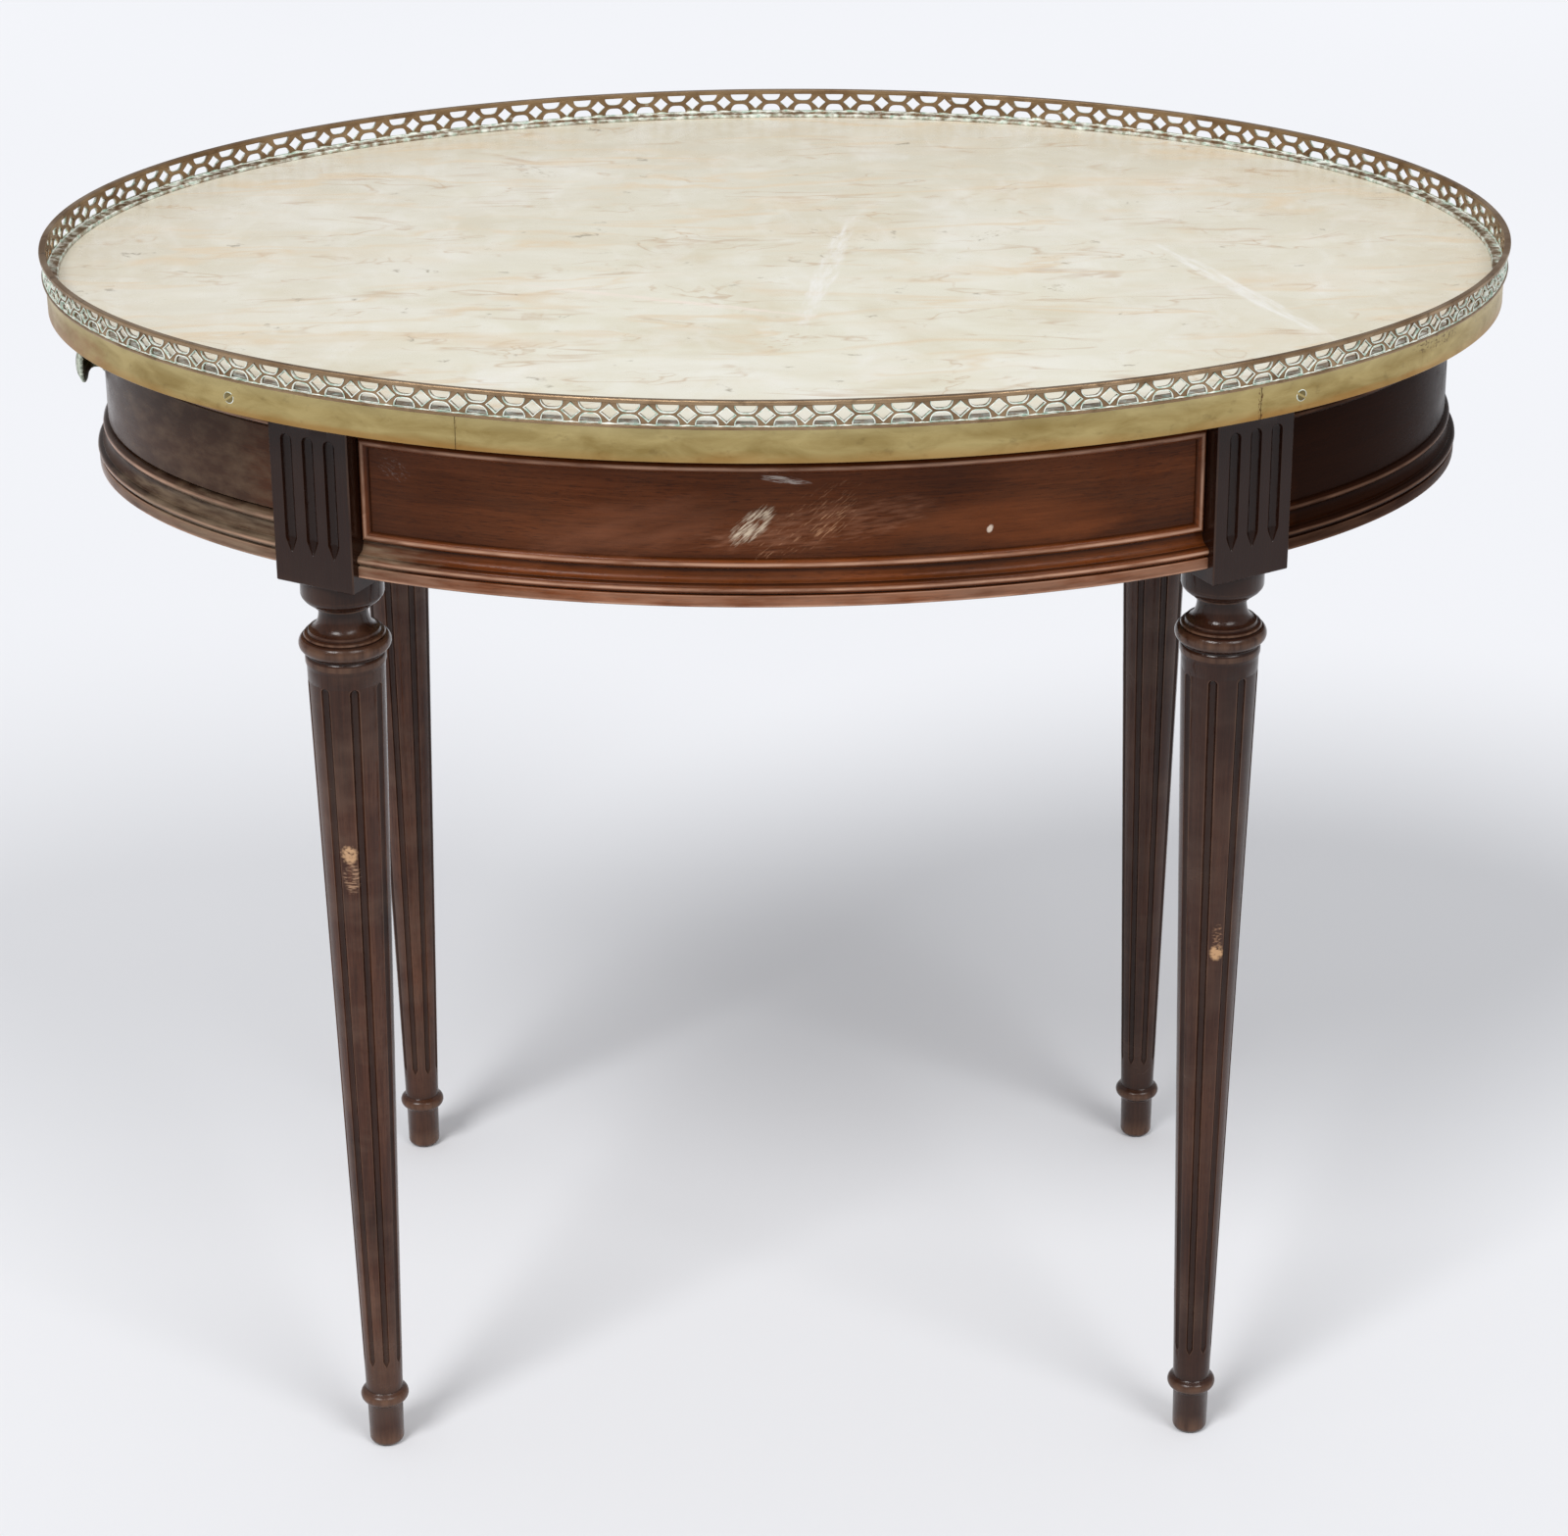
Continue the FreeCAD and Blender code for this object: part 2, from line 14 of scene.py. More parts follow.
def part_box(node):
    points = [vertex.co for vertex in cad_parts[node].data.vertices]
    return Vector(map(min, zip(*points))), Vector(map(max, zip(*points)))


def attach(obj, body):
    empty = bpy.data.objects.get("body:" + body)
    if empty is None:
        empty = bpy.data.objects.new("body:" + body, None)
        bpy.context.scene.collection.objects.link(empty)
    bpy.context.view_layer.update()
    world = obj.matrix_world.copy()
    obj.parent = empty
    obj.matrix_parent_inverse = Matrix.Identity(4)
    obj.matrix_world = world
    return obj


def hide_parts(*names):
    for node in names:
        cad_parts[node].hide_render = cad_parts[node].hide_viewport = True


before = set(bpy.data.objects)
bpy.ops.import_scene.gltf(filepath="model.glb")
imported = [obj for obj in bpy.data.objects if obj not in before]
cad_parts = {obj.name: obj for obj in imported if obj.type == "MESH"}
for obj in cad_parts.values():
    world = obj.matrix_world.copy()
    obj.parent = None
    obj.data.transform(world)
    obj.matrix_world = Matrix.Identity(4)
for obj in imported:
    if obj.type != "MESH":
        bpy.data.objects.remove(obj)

# Oval salon table in metres, in the frame's own axes: the front looks towards -Y, the
# drawer slides out towards -X, the floor is at zero. The pieces are drawn in millimetres
# and turned to metres once, when their mesh is made.

log = logging.getLogger("oval_table")

# Short names for what many functions take and give. A profile's points are how proud or
# wide, how high and how exposed.
Tree = bpy.types.NodeTree
Socket = bpy.types.NodeSocket
Mesh = bpy.types.Mesh
Material = bpy.types.Material
Triple = tuple[float, float, float]
Profile = list[Triple]

MILLIMETRE = 0.001
FULL_TURN = 2 * math.pi
QUARTER_TURN = math.pi / 2

# Angle in degrees above which an edge stays sharp, and how near points are one, in millimetres
CREASE = 32.0
ONE_POINT = 0.01

# Kinds of node that many patterns use, and the sockets of a colour mix by number, because
# they share their names with those of other mixes
MATH = "ShaderNodeMath"
VECTOR_MATH = "ShaderNodeVectorMath"
RANGE = "ShaderNodeMapRange"
RAMP = "ShaderNodeValToRGB"
MIX_FACTOR, MIX_BELOW, MIX_ABOVE, MIX_RESULT = 0, 6, 7, 2


def frame_millimetres(node: str) -> tuple[Vector, Vector]:
    """Lowest and highest corner of a frame node, in millimetres."""
    low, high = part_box(node)
    return low / MILLIMETRE, high / MILLIMETRE


def metres(lengths: Triple) -> Triple:
    """Three lengths in millimetres, turned to metres."""
    return tuple(length * MILLIMETRE for length in lengths)


def cosine_steps(count: int) -> list[float]:
    """Places from -1 to 1 across a groove, closer together at its edges."""
    return [-math.cos(math.pi * step / count) for step in range(count + 1)]


def linear(code: str) -> tuple[float, float, float, float]:
    """Turn an sRGB hex colour into a linear one.

    Args:
        code: six hex digits after a hash sign.

    Returns:
        Linear red, green and blue, and a full alpha.
    """
    parts = [int(code[place : place + 2], 16) / 255 for place in (1, 3, 5)]
    red, green, blue = (c / 12.92 if c <= 0.04045 else ((c + 0.055) / 1.055) ** 2.4 for c in parts)
    return (red, green, blue, 1.0)


def add(
    tree: Tree,
    kind: str,
    inputs: dict | Sequence = (),
    output: int | str = 0,
    stops: Sequence[tuple[float, str]] = (),
    **settings: object,
) -> Socket | None:
    """Add one node with its settings, its inputs and the colours of its ramp.

    Args:
        tree: shader or geometry tree that gets the node.
        kind: the node's type name.
        inputs: for each input, by name or in order, a socket to link or a fixed value.
        output: name or number of the output that is wanted.
        stops: place and hex colour of each stop, where the node is a ramp.
        **settings: properties set on the node itself.

    Returns:
        The wanted output, or none where the node ends the tree.
    """
    node = tree.nodes.new(kind)
    for name, setting in settings.items():
        setattr(node, name, setting)
    for key, given in inputs.items() if isinstance(inputs, dict) else enumerate(inputs):
        if isinstance(given, Socket):
            tree.links.new(given, node.inputs[key])
        else:
            node.inputs[key].default_value = given
    for number, (place, shade) in enumerate(stops):
        ramp = node.color_ramp.elements
        stop = ramp[number] if number < 2 else ramp.new(place)
        stop.position = place
        stop.color = linear(shade)
    return node.outputs[output] if node.outputs else None


def linked(name: str, data: bpy.types.ID) -> bpy.types.Object:
    """Put data into the scene as an object."""
    made = bpy.data.objects.new(name, data)
    bpy.context.scene.collection.objects.link(made)
    return made


# Drawing in millimetres


@dataclass
class Draft:
    """Points and faces of one piece while it is drawn, in millimetres.

    The crest value of a point is 1 on an edge that hands rub, 0 in a recess that keeps its
    dust and takes painted shade, and 0.5 on a plain surface. The grain place is along, up and
    across the grain.
    """

    points: list[Vector] = field(default_factory=list)
    crests: list[float] = field(default_factory=list)
    grains: list[Vector] = field(default_factory=list)
    faces: list[tuple[int, ...]] = field(default_factory=list)

    def point(self, place: Sequence[float], crest: float, grain: Sequence[float] | None = None) -> int:
        """Add a point.

        Args:
            place: where it is.
            crest: how exposed it is.
            grain: its place in the grain, or none to take the place itself.

        Returns:
            The point's number.
        """
        self.points.append(Vector(place))
        self.crests.append(crest)
        self.grains.append(Vector(place if grain is None else grain))
        return len(self.points) - 1

    def row(self, given: Iterable[tuple]) -> list[int]:
        """Add a row of points, each by its place, its crest and maybe its grain."""
        return [self.point(*one) for one in given]

    def skin(
        self, rows: list[list[int]], closed: bool = True, looped: bool = False, capped: bool = False
    ) -> None:
        """Join each row of points to the next; a row of one point is a tip.

        Args:
            rows: the rows, all of one length but for the tips.
            closed: whether each row joins up with its own start.
            looped: whether the last row joins the first.
            capped: whether the first and the last row are filled.
        """
        for first, second in zip(rows, rows[1:] + rows[:1] if looped else rows[1:]):
            count = max(len(first), len(second))
            for here in range(count if closed else count - 1):
                after = (here + 1) % count
                if len(first) == 1:
                    self.faces.append((first[0], second[here], second[after]))
                elif len(second) == 1:
                    self.faces.append((first[here], first[after], second[0]))
                else:
                    self.faces.append((first[here], first[after], second[after], second[here]))
        if capped:
            self.faces += [tuple(rows[0]), tuple(rows[-1])]

    def fill(self, loops: list[list[int]], axes: tuple[int, int]) -> None:
        """Fill an outline that may have holes.

        Args:
            loops: the outer loop, then the holes.
            axes: numbers of the two axes that the outline is seen along.
        """
        numbers = [number for loop in loops for number in loop]
        across, up = axes
        flat = [[Vector((self.points[n][across], self.points[n][up], 0)) for n in loop] for loop in loops]
        self.faces += [tuple(numbers[corner] for corner in corners) for corners in tessellate_polygon(flat)]

    def add(self, other: "Draft") -> None:
        """Take in another draft as it stands."""
        start = len(self.points)
        self.points += other.points
        self.crests += other.crests
        self.grains += other.grains
        self.faces += [tuple(start + number for number in face) for face in other.faces]

    def mesh(self, name: str, unit: float = 1.0) -> Mesh:
        """Make the mesh, with its crest and grain kept on the points.

        Args:
            name: name of the mesh.
            unit: length of one drawing unit in the mesh.

        Returns:
            The mesh.
        """
        made = bpy.data.meshes.new(name)
        made.from_pydata([place * unit for place in self.points], [], self.faces)
        made.attributes.new("crest", "FLOAT", "POINT").data.foreach_set("value", self.crests)
        grains = [length * MILLIMETRE for place in self.grains for length in place]
        made.attributes.new("grain_place", "FLOAT_VECTOR", "POINT").data.foreach_set("vector", grains)
        return made


def turn_out(mesh: Mesh, merge: bool = False) -> None:
    """Turn the faces of closed shells outwards.

    Args:
        mesh: the mesh.
        merge: whether points that fall together become one.
    """
    shell = bmesh.new()
    shell.from_mesh(mesh)
    if merge:
        bmesh.ops.remove_doubles(shell, verts=shell.verts, dist=ONE_POINT * MILLIMETRE)
        bmesh.ops.dissolve_degenerate(shell, edges=shell.edges, dist=ONE_POINT / 2 * MILLIMETRE)
    bmesh.ops.recalc_face_normals(shell, faces=shell.faces)
    shell.to_mesh(mesh)
    shell.free()


def put(
    name: str,
    shape: Draft | Mesh,
    finish: Material,
    body: str,
    slot: str,
    nodes: Iterable[str] = (),
    crease: float = CREASE,
    merge: bool = False,
) -> None:
    """Make a finished piece and say what it rides on, wears and stands for.

    Args:
        name: name of the piece.
        shape: its draft, or its mesh in the frame's own place.
        finish: its material.
        body: name of the body that it rides on.
        slot: name of its material slot; not used.
        nodes: names of the nodes that it replaces.
        crease: angle in degrees above which an edge stays sharp.
        merge: whether points that fall together become one.
    """
    mesh = shape.mesh(name, MILLIMETRE) if isinstance(shape, Draft) else shape
    turn_out(mesh)
    mesh.shade_smooth()
    mesh.set_sharp_from_angle(angle=math.radians(crease))
    if merge:
        turn_out(mesh, merge=True)
    if mesh.materials:
        mesh.materials[0] = finish
    else:
        mesh.materials.append(finish)
    piece = linked(name, mesh)
    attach(piece, body)
    if nodes:
        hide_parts(*nodes)
    log.info("%s: %d faces on %s", name, len(mesh.polygons), body)


# The oval and its corners


@dataclass(frozen=True)
class Oval:
    """A level oval about the table's middle, in millimetres."""

    half_length: float
    half_width: float

    def grown(self, amount: float) -> "Oval":
        """The oval with both half axes made longer."""
        return Oval(self.half_length + amount, self.half_width + amount)

    def point(self, angle: float, height: float = 0.0) -> Vector:
        """The point at an angle of the oval, at a height."""
        return Vector((self.half_length * math.cos(angle), self.half_width * math.sin(angle), height))

    def speed(self, angle: float) -> float:
        """Length along the oval for each radian at this angle."""
        return math.hypot(self.half_length * math.sin(angle), self.half_width * math.cos(angle))

    def outwards(self, angle: float) -> Vector:
        """Level direction square to the oval."""
        return Vector((math.cos(angle) / self.half_length, math.sin(angle) / self.half_width, 0)).normalized()

    def polyline(self, count: int = 1440) -> list[Vector]:
        """Close points all round, from the front's middle towards +X."""
        return [self.point(FULL_TURN * step / count - QUARTER_TURN) for step in range(count + 1)]

    def angle_on(self, facing: Vector, distance: float, middle: float, ahead: bool) -> float:
        """Angle at which the oval passes through an upright plane.

        Args:
            facing: level unit direction square to the plane.
            distance: how far the plane lies from the table's middle along it.
            middle: angle of the stretch that the plane ends.
            ahead: whether the plane lies ahead of that angle, or behind it.

        Returns:
            The nearest such angle on that side.
        """
        along = self.half_length * facing.x
        across = self.half_width * facing.y
        centre = math.atan2(across, along)
        spread = math.acos(distance / math.hypot(along, across))
        turns = [(centre + sign * spread - middle) % FULL_TURN for sign in (-1, 1)]
        if not ahead:
            turns = [turn - FULL_TURN for turn in turns]
        return middle + min(turns, key=abs)


class Side(Enum):
    """The four stretches of the frieze, with the angle of their middle and their two corners."""

    FRONT = (-90.0, (-1, -1), (1, -1))
    RIGHT = (0.0, (1, -1), (1, 1))
    BACK = (90.0, (1, 1), (-1, 1))
    LEFT = (180.0, (-1, 1), (-1, -1))

    @property
    def middle(self) -> float:
        """Angle of the stretch's middle."""
        return math.radians(self.value[0])

    @property
    def at_end(self) -> bool:
        """Whether it is one of the table's two short ends."""
        return self in (Side.LEFT, Side.RIGHT)


@dataclass(frozen=True)
class Corners:
    """Where the four legs stand, and how their square blocks are turned, in degrees."""

    spread_length: float = 526.0
    spread_width: float = 392.0
    turn: float = 29.7
    block_side: float = 55.0

    def axis(self, corner: tuple[int, int]) -> Vector:
        """Where a leg's axis meets the floor."""
        return Vector((corner[0] * self.spread_length / 2, corner[1] * self.spread_width / 2, 0))

    def span(self, side: Side, gap: float, oval: Oval) -> tuple[float, float]:
        """Angles at which an oval meets the blocks at the two ends of a stretch.

        Args:
            side: the stretch.
            gap: distance kept from each block; below zero it runs into it.
            oval: the oval that runs between the blocks.

        Returns:
            The first and the last angle.
        """
        turn = math.radians(self.turn)
        ends = []
        for ahead, corner in ((False, side.value[1]), (True, side.value[2])):
            facing = Vector((corner[0] * math.cos(turn), -corner[1] * math.sin(turn), 0))
            if not side.at_end:
                facing = -facing
            distance = facing.dot(self.axis(corner)) + self.block_side / 2 + gap
            ends.append(oval.angle_on(facing, distance, side.middle, ahead))
        return ends[0], ends[1]


def half_round(low: float, high: float, base: float, proud: float, steps: int = 8) -> Profile:
    """A bead seen from its end.

    Args:
        low: lower edge.
        high: upper edge.
        base: how proud its edges are.
        proud: how much further its middle stands out.
        steps: parts of the round.

    Returns:
        The points from its lower edge up.
    """
    middle = (low + high) / 2
    half = (high - low) / 2
    turns = [math.pi * step / steps for step in range(steps + 1)]
    return [
        (base + proud * math.sin(turn), middle - half * math.cos(turn), 0.15 + 0.85 * math.sin(turn) ** 3)
        for turn in turns
    ]


def cove(low: float, high: float, outer: float, inner: float, steps: int = 7) -> Profile:
    """A hollow that runs inwards from its lower edge to its upper one.

    Args:
        low: lower edge.
        high: upper edge.
        outer: how proud the lower edge is.
        inner: how proud the upper edge is.
        steps: parts of the round.

    Returns:
        The points from its lower edge up.
    """
    turns = [QUARTER_TURN * step / steps for step in range(steps + 1)]
    depth, rise = outer - inner, high - low
    return [
        (outer - depth * math.sin(turn), high - rise * math.cos(turn), 0.7 - 0.55 * step / steps)
        for step, turn in enumerate(turns)
    ]


def swept(oval: Oval, profile: Profile, span: Callable[[Oval], tuple[float, float]], steps: int) -> Draft:
    """Run a closed profile along part of an oval and close its two ends.

    Args:
        oval: the oval that the profile's zero lies on.
        profile: the section.
        span: gives the first and last angle for each point's own oval.
        steps: parts of the run.

    Returns:
        The closed draft.
    """
    draft = Draft()
    rows = []
    for proud, height, crest in profile:
        own = oval.grown(proud)
        first, last = span(own)
        speed = oval.speed((first + last) / 2)
        angles = [first + (last - first) * step / steps for step in range(steps + 1)]
        run = ((own.point(angle, height), (angle - first) * speed) for angle in angles)
        rows.append(draft.row((place, crest, (along, height, proud)) for place, along in run))
    draft.skin(rows, closed=False, looped=True)
    outline = [Vector((proud, height, 0)) for proud, height, _ in profile]
    for corners in tessellate_polygon([outline]):
        draft.faces += [tuple(rows[corner][end] for corner in corners) for end in (0, -1)]
    return draft


# Patterns of the finishes


@dataclass(frozen=True)
class Mark:
    """A worn, chipped or stained place.

    Its middle and reach are in millimetres and its turn in degrees about each axis. The
    streaks are the sizes of its ragged spots along its own axes, and cover says how much
    of it they fill.
    """

    middle: Triple
    reach: Triple
    shade: str
    turn: Triple = (0.0, 0.0, 0.0)
    streak: Triple = (3.0, 3.0, 3.0)
    cover: float = 0.5
    soft: float = 0.08
    strength: float = 1.0


@dataclass(frozen=True)
class Tone:
    """Colour that a surface takes on little by little along one axis of the table; some tones are painted
    shade and painted highlight.
    """

    start: float
    full: float
    shade: str
    strength: float
    axis: str = "X"
    wander: float = 32.0


def laid(tree: Tree, colour: Socket, *layers: tuple[Socket, str | Socket]) -> Socket:
    """Lay colours over another, each where its mask says so.

    Args:
        tree: the material's tree.
        colour: the colour below.
        *layers: a mask and a hex code or socket for each colour, from the lowest up.

    Returns:
        The mixed colour.
    """
    for mask, shade in layers:
        above = linear(shade) if isinstance(shade, str) else shade
        inputs = {MIX_FACTOR: mask, MIX_BELOW: colour, MIX_ABOVE: above}
        colour = add(tree, "ShaderNodeMix", inputs, MIX_RESULT, data_type="RGBA")
    return colour


def cloud(
    tree: Tree, place: Socket, size: Triple, detail: float = 3.0, bend: float = 0.0, seed: float = 0.0
) -> Socket:
    """A noise whose patches have real sizes along the three axes.

    Args:
        tree: the material's tree.
        place: where the surface is, in metres.
        size: size of a patch along each axis, in millimetres.
        detail: how ragged it is.
        bend: how much the patches are bent.
        seed: shifts the pattern, so that no two are alike.

    Returns:
        The noise, mostly between 0.25 and 0.75.
    """
    scale = tuple(1 / (length * MILLIMETRE) for length in size)
    shift = (seed + size[0], seed + detail, seed - size[1])
    spread = add(tree, "ShaderNodeMapping", {"Vector": place, "Scale": scale, "Location": shift})
    inputs = {"Vector": spread, "Scale": 1.0, "Detail": detail, "Roughness": 0.55, "Distortion": bend}
    return add(tree, "ShaderNodeTexNoise", inputs)


def patches(
    tree: Tree, place: Socket, size: Triple, start: float, full: float, strength: float = 1.0, **noise: float
) -> Socket:
    """A mask of cloudy patches that starts and fills up at two levels of a noise.

    Args:
        tree: the material's tree.
        place: where the surface is, in metres.
        size: size of a patch along each axis, in millimetres.
        start: noise value at which a patch starts.
        full: noise value at which it is full.
        strength: its highest value.
        **noise: detail, bend and seed of the noise.

    Returns:
        The mask from zero to its strength.
    """
    return add(tree, RANGE, (cloud(tree, place, size, **noise), start, full, 0.0, strength))


def hairline(
    tree: Tree,
    place: Socket,
    size: Triple,
    width: float,
    strength: float,
    gaps: tuple[float, float],
    seed: float,
) -> Socket:
    """Thin lines where a noise passes its middle, broken up by a second noise.

    Args:
        tree: the material's tree.
        place: where the surface is, in metres.
        size: size of the noise along each axis, in millimetres.
        width: half of the noise range that a line covers.
        strength: how strong the lines are.
        gaps: levels of the second noise at which the lines start and are full.
        seed: shifts the pattern.

    Returns:
        The mask of the lines.
    """
    wide = cloud(tree, place, size, bend=0.6, seed=seed)
    off_middle = add(tree, MATH, (wide, 0.5), operation="SUBTRACT")
    away = add(tree, MATH, (off_middle,), operation="ABSOLUTE")
    line = add(tree, RANGE, (away, width, 0.0, 0.0, strength))
    broken = patches(tree, place, tuple(length * 0.7 for length in size), *gaps, detail=4.0, seed=seed + 7)
    return add(tree, MATH, (line, broken), operation="MULTIPLY")


def marked(tree: Tree, place: Socket, colour: Socket, marks: Iterable[Mark]) -> Socket:
    """Lay marks over a colour, each fading out raggedly towards its edge.

    Args:
        tree: the material's tree.
        place: where the surface is, in metres.
        colour: the colour under the marks.
        marks: the marks.

    Returns:
        The colour with the marks on it.
    """
    for mark in marks:
        turn = tuple(math.radians(angle) for angle in mark.turn)
        inputs = {"Vector": place, "Location": metres(mark.middle), "Rotation": turn}
        own = add(tree, "ShaderNodeMapping", inputs, vector_type="TEXTURE")
        shares = add(tree, VECTOR_MATH, (own, metres(mark.reach)), operation="DIVIDE")
        far = add(tree, VECTOR_MATH, (shares,), "Value", operation="LENGTH")
        ragged = cloud(tree, own, mark.streak, 5.0, seed=mark.reach[0])
        spots = add(tree, RANGE, (ragged, 1 - mark.cover - mark.soft, 1 - mark.cover + mark.soft))
        edge = add(tree, MATH, (ragged, -0.8, far), operation="MULTIPLY_ADD")
        fading = add(tree, RANGE, (edge, 0.6, 0.2))
        both = add(tree, MATH, (spots, fading), operation="MULTIPLY")
        cover = add(tree, MATH, (both, mark.strength), operation="MULTIPLY")
        colour = laid(tree, colour, (cover, mark.shade))
    return colour


def toned(tree: Tree, place: Socket, colour: Socket, tones: Iterable[Tone]) -> Socket:
    """Let a colour pass into others along the axes, with a slightly uneven edge.

    Args:
        tree: the material's tree.
        place: where the surface is, in metres.
        colour: the colour to start from.
        tones: the tones to pass into.

    Returns:
        The colour with the tones in it.
    """
    uneven = add(tree, MATH, (cloud(tree, place, (60.0, 60.0, 60.0)), 0.5), operation="SUBTRACT")
    axes = add(tree, "ShaderNodeSeparateXYZ", (place,)).node.outputs
    for tone in tones:
        wander = 2 * tone.wander * MILLIMETRE
        way = add(tree, MATH, (uneven, wander, axes[tone.axis]), operation="MULTIPLY_ADD")
        mask = add(tree, RANGE, (way, tone.start * MILLIMETRE, tone.full * MILLIMETRE, 0.0, tone.strength))
        colour = laid(tree, colour, (mask, tone.shade))
    return colour


# Finishes


@dataclass(frozen=True)
class Finish:
    """What every finish has: a name, and a way to paint its surface."""

    name: str

    def material(self) -> Material:
        """Make the material, whose one shader takes what the finish paints.

        Returns:
            The material.
        """
        made = bpy.data.materials.new(self.name)
        made.use_nodes = True
        tree = made.node_tree
        tree.nodes.clear()
        place = add(tree, "ShaderNodeTexCoord", output="Object")
        shader = add(tree, "ShaderNodeBsdfPrincipled", self.paint(tree, place))
        add(tree, "ShaderNodeOutputMaterial", (shader,))
        return made

    def paint(self, tree: Tree, place: Socket) -> dict[str, object]:
        """What the shader takes, worked out from where the surface is."""
        raise NotImplementedError


class Grain(Enum):
    """Which way the wood's fibres run."""

    ALONG_THE_PIECE = "along"
    UPRIGHT = "upright"


@dataclass(frozen=True)
class PolishedMahogany(Finish):
    """French-polished mahogany: fine dark pores in a soft gloss, rubbed pale on its edges, darkened in its
    hollows by dust and painted shade.
    """

    dark: str = "#512810"
    middle: str = "#683414"
    light: str = "#824522"
    pore: str = "#32160A"
    film: str = "#7A5B47"
    rubbed: str = "#C39A81"
    dust_and_shade: str = "#1C0E08"
    film_strength: float = 0.14
    rub_strength: float = 0.92
    recess_strength: float = 0.75
    grain: Grain = Grain.ALONG_THE_PIECE
    roughness: tuple[float, float] = (0.20, 0.42)
    gloss: float = 0.10
    tones: tuple[Tone, ...] = ()
    marks: tuple[Mark, ...] = ()

    def fibres(self, long: float, fine: float) -> Triple:
        """Patch size with its long side along the grain."""
        return (fine, fine, long) if self.grain is Grain.UPRIGHT else (long, fine, fine)

    def paint(self, tree: Tree, place: Socket) -> dict[str, object]:
        """Lay figure, pores, dull film, rubbed edges and marks.

        Args:
            tree: the material's tree.
            place: where the surface is, in metres.

        Returns:
            Colour, roughness, pore relief and gloss.
        """
        grain = place
        if self.grain is Grain.ALONG_THE_PIECE:
            grain = add(tree, "ShaderNodeAttribute", output="Vector", attribute_name="grain_place")
        broad = cloud(tree, grain, self.fibres(150.0, 34.0), 4.0, 0.4)
        fine = cloud(tree, grain, self.fibres(70.0, 1.6), 3.0, 0.2)
        share = add(tree, MATH, (broad, 0.65), operation="MULTIPLY")
        figure = add(tree, MATH, (fine, 0.35, share), operation="MULTIPLY_ADD")
        stops = ((0.36, self.dark), (0.50, self.middle), (0.64, self.light))
        colour = add(tree, RAMP, (figure,), stops=stops)
        pores = patches(tree, grain, self.fibres(8.0, 0.6), 0.55, 0.68, 0.6, detail=2.0)
        haze = patches(tree, place, (48.0, 48.0, 30.0), 0.44, 0.72, self.film_strength, detail=7.0)
        colour = laid(tree, colour, (pores, self.pore), (haze, self.film))
        colour = toned(tree, place, colour, self.tones)
        crest = add(tree, "ShaderNodeAttribute", output="Fac", attribute_name="crest")
        ridge = add(tree, RANGE, (crest, 0.76, 1.0, 0.0, self.rub_strength))
        worn = patches(tree, grain, self.fibres(34.0, 5.0), 0.26, 0.60, detail=5.0)
        rub = add(tree, MATH, (ridge, worn), operation="MULTIPLY")
        # Hollows are darkened: partly dust, partly painted shade for the shade that falls in them.
        recess = add(tree, RANGE, (crest, 0.46, 0.12, 0.0, self.recess_strength))
        colour = laid(tree, colour, (rub, self.rubbed), (recess, self.dust_and_shade))
        sunk = {"Height": pores, "Strength": 0.25, "Distance": 0.2 * MILLIMETRE}
        return {
            "Base Color": marked(tree, place, colour, self.marks),
            "Roughness": add(tree, RANGE, (haze, 0.0, self.film_strength, *self.roughness)),
            "Normal": add(tree, "ShaderNodeBump", sunk, invert=True),
            "Specular IOR Level": self.gloss,
        }


@dataclass(frozen=True)
class PlainOak(Finish):
    """Planed oak left unpolished: dry, matt and streaked along its length."""

    dark: str = "#6F5234"
    light: str = "#A9865B"

    def paint(self, tree: Tree, place: Socket) -> dict[str, object]:
        """Lay long streaks and fine pores, with hardly any gloss.

        Args:
            tree: the material's tree.
            place: where the surface is, in metres.

        Returns:
            Colour, roughness and pore relief.
        """
        streaks = patches(tree, place, (160.0, 7.0, 7.0), 0.30, 0.70, detail=6.0, bend=0.4)
        wood = add(tree, RAMP, (streaks,), stops=((0.0, self.dark), (1.0, self.light)))
        pores = patches(tree, place, (14.0, 0.8, 0.8), 0.55, 0.68, 0.5, detail=2.0)
        sunk = {"Height": pores, "Strength": 0.4, "Distance": 0.2 * MILLIMETRE}
        return {
            "Base Color": laid(tree, wood, (pores, self.dark)),
            "Roughness": add(tree, RANGE, (streaks, 0.0, 1.0, 0.72, 0.85)),
            "Normal": add(tree, "ShaderNodeBump", sunk, invert=True),
        }


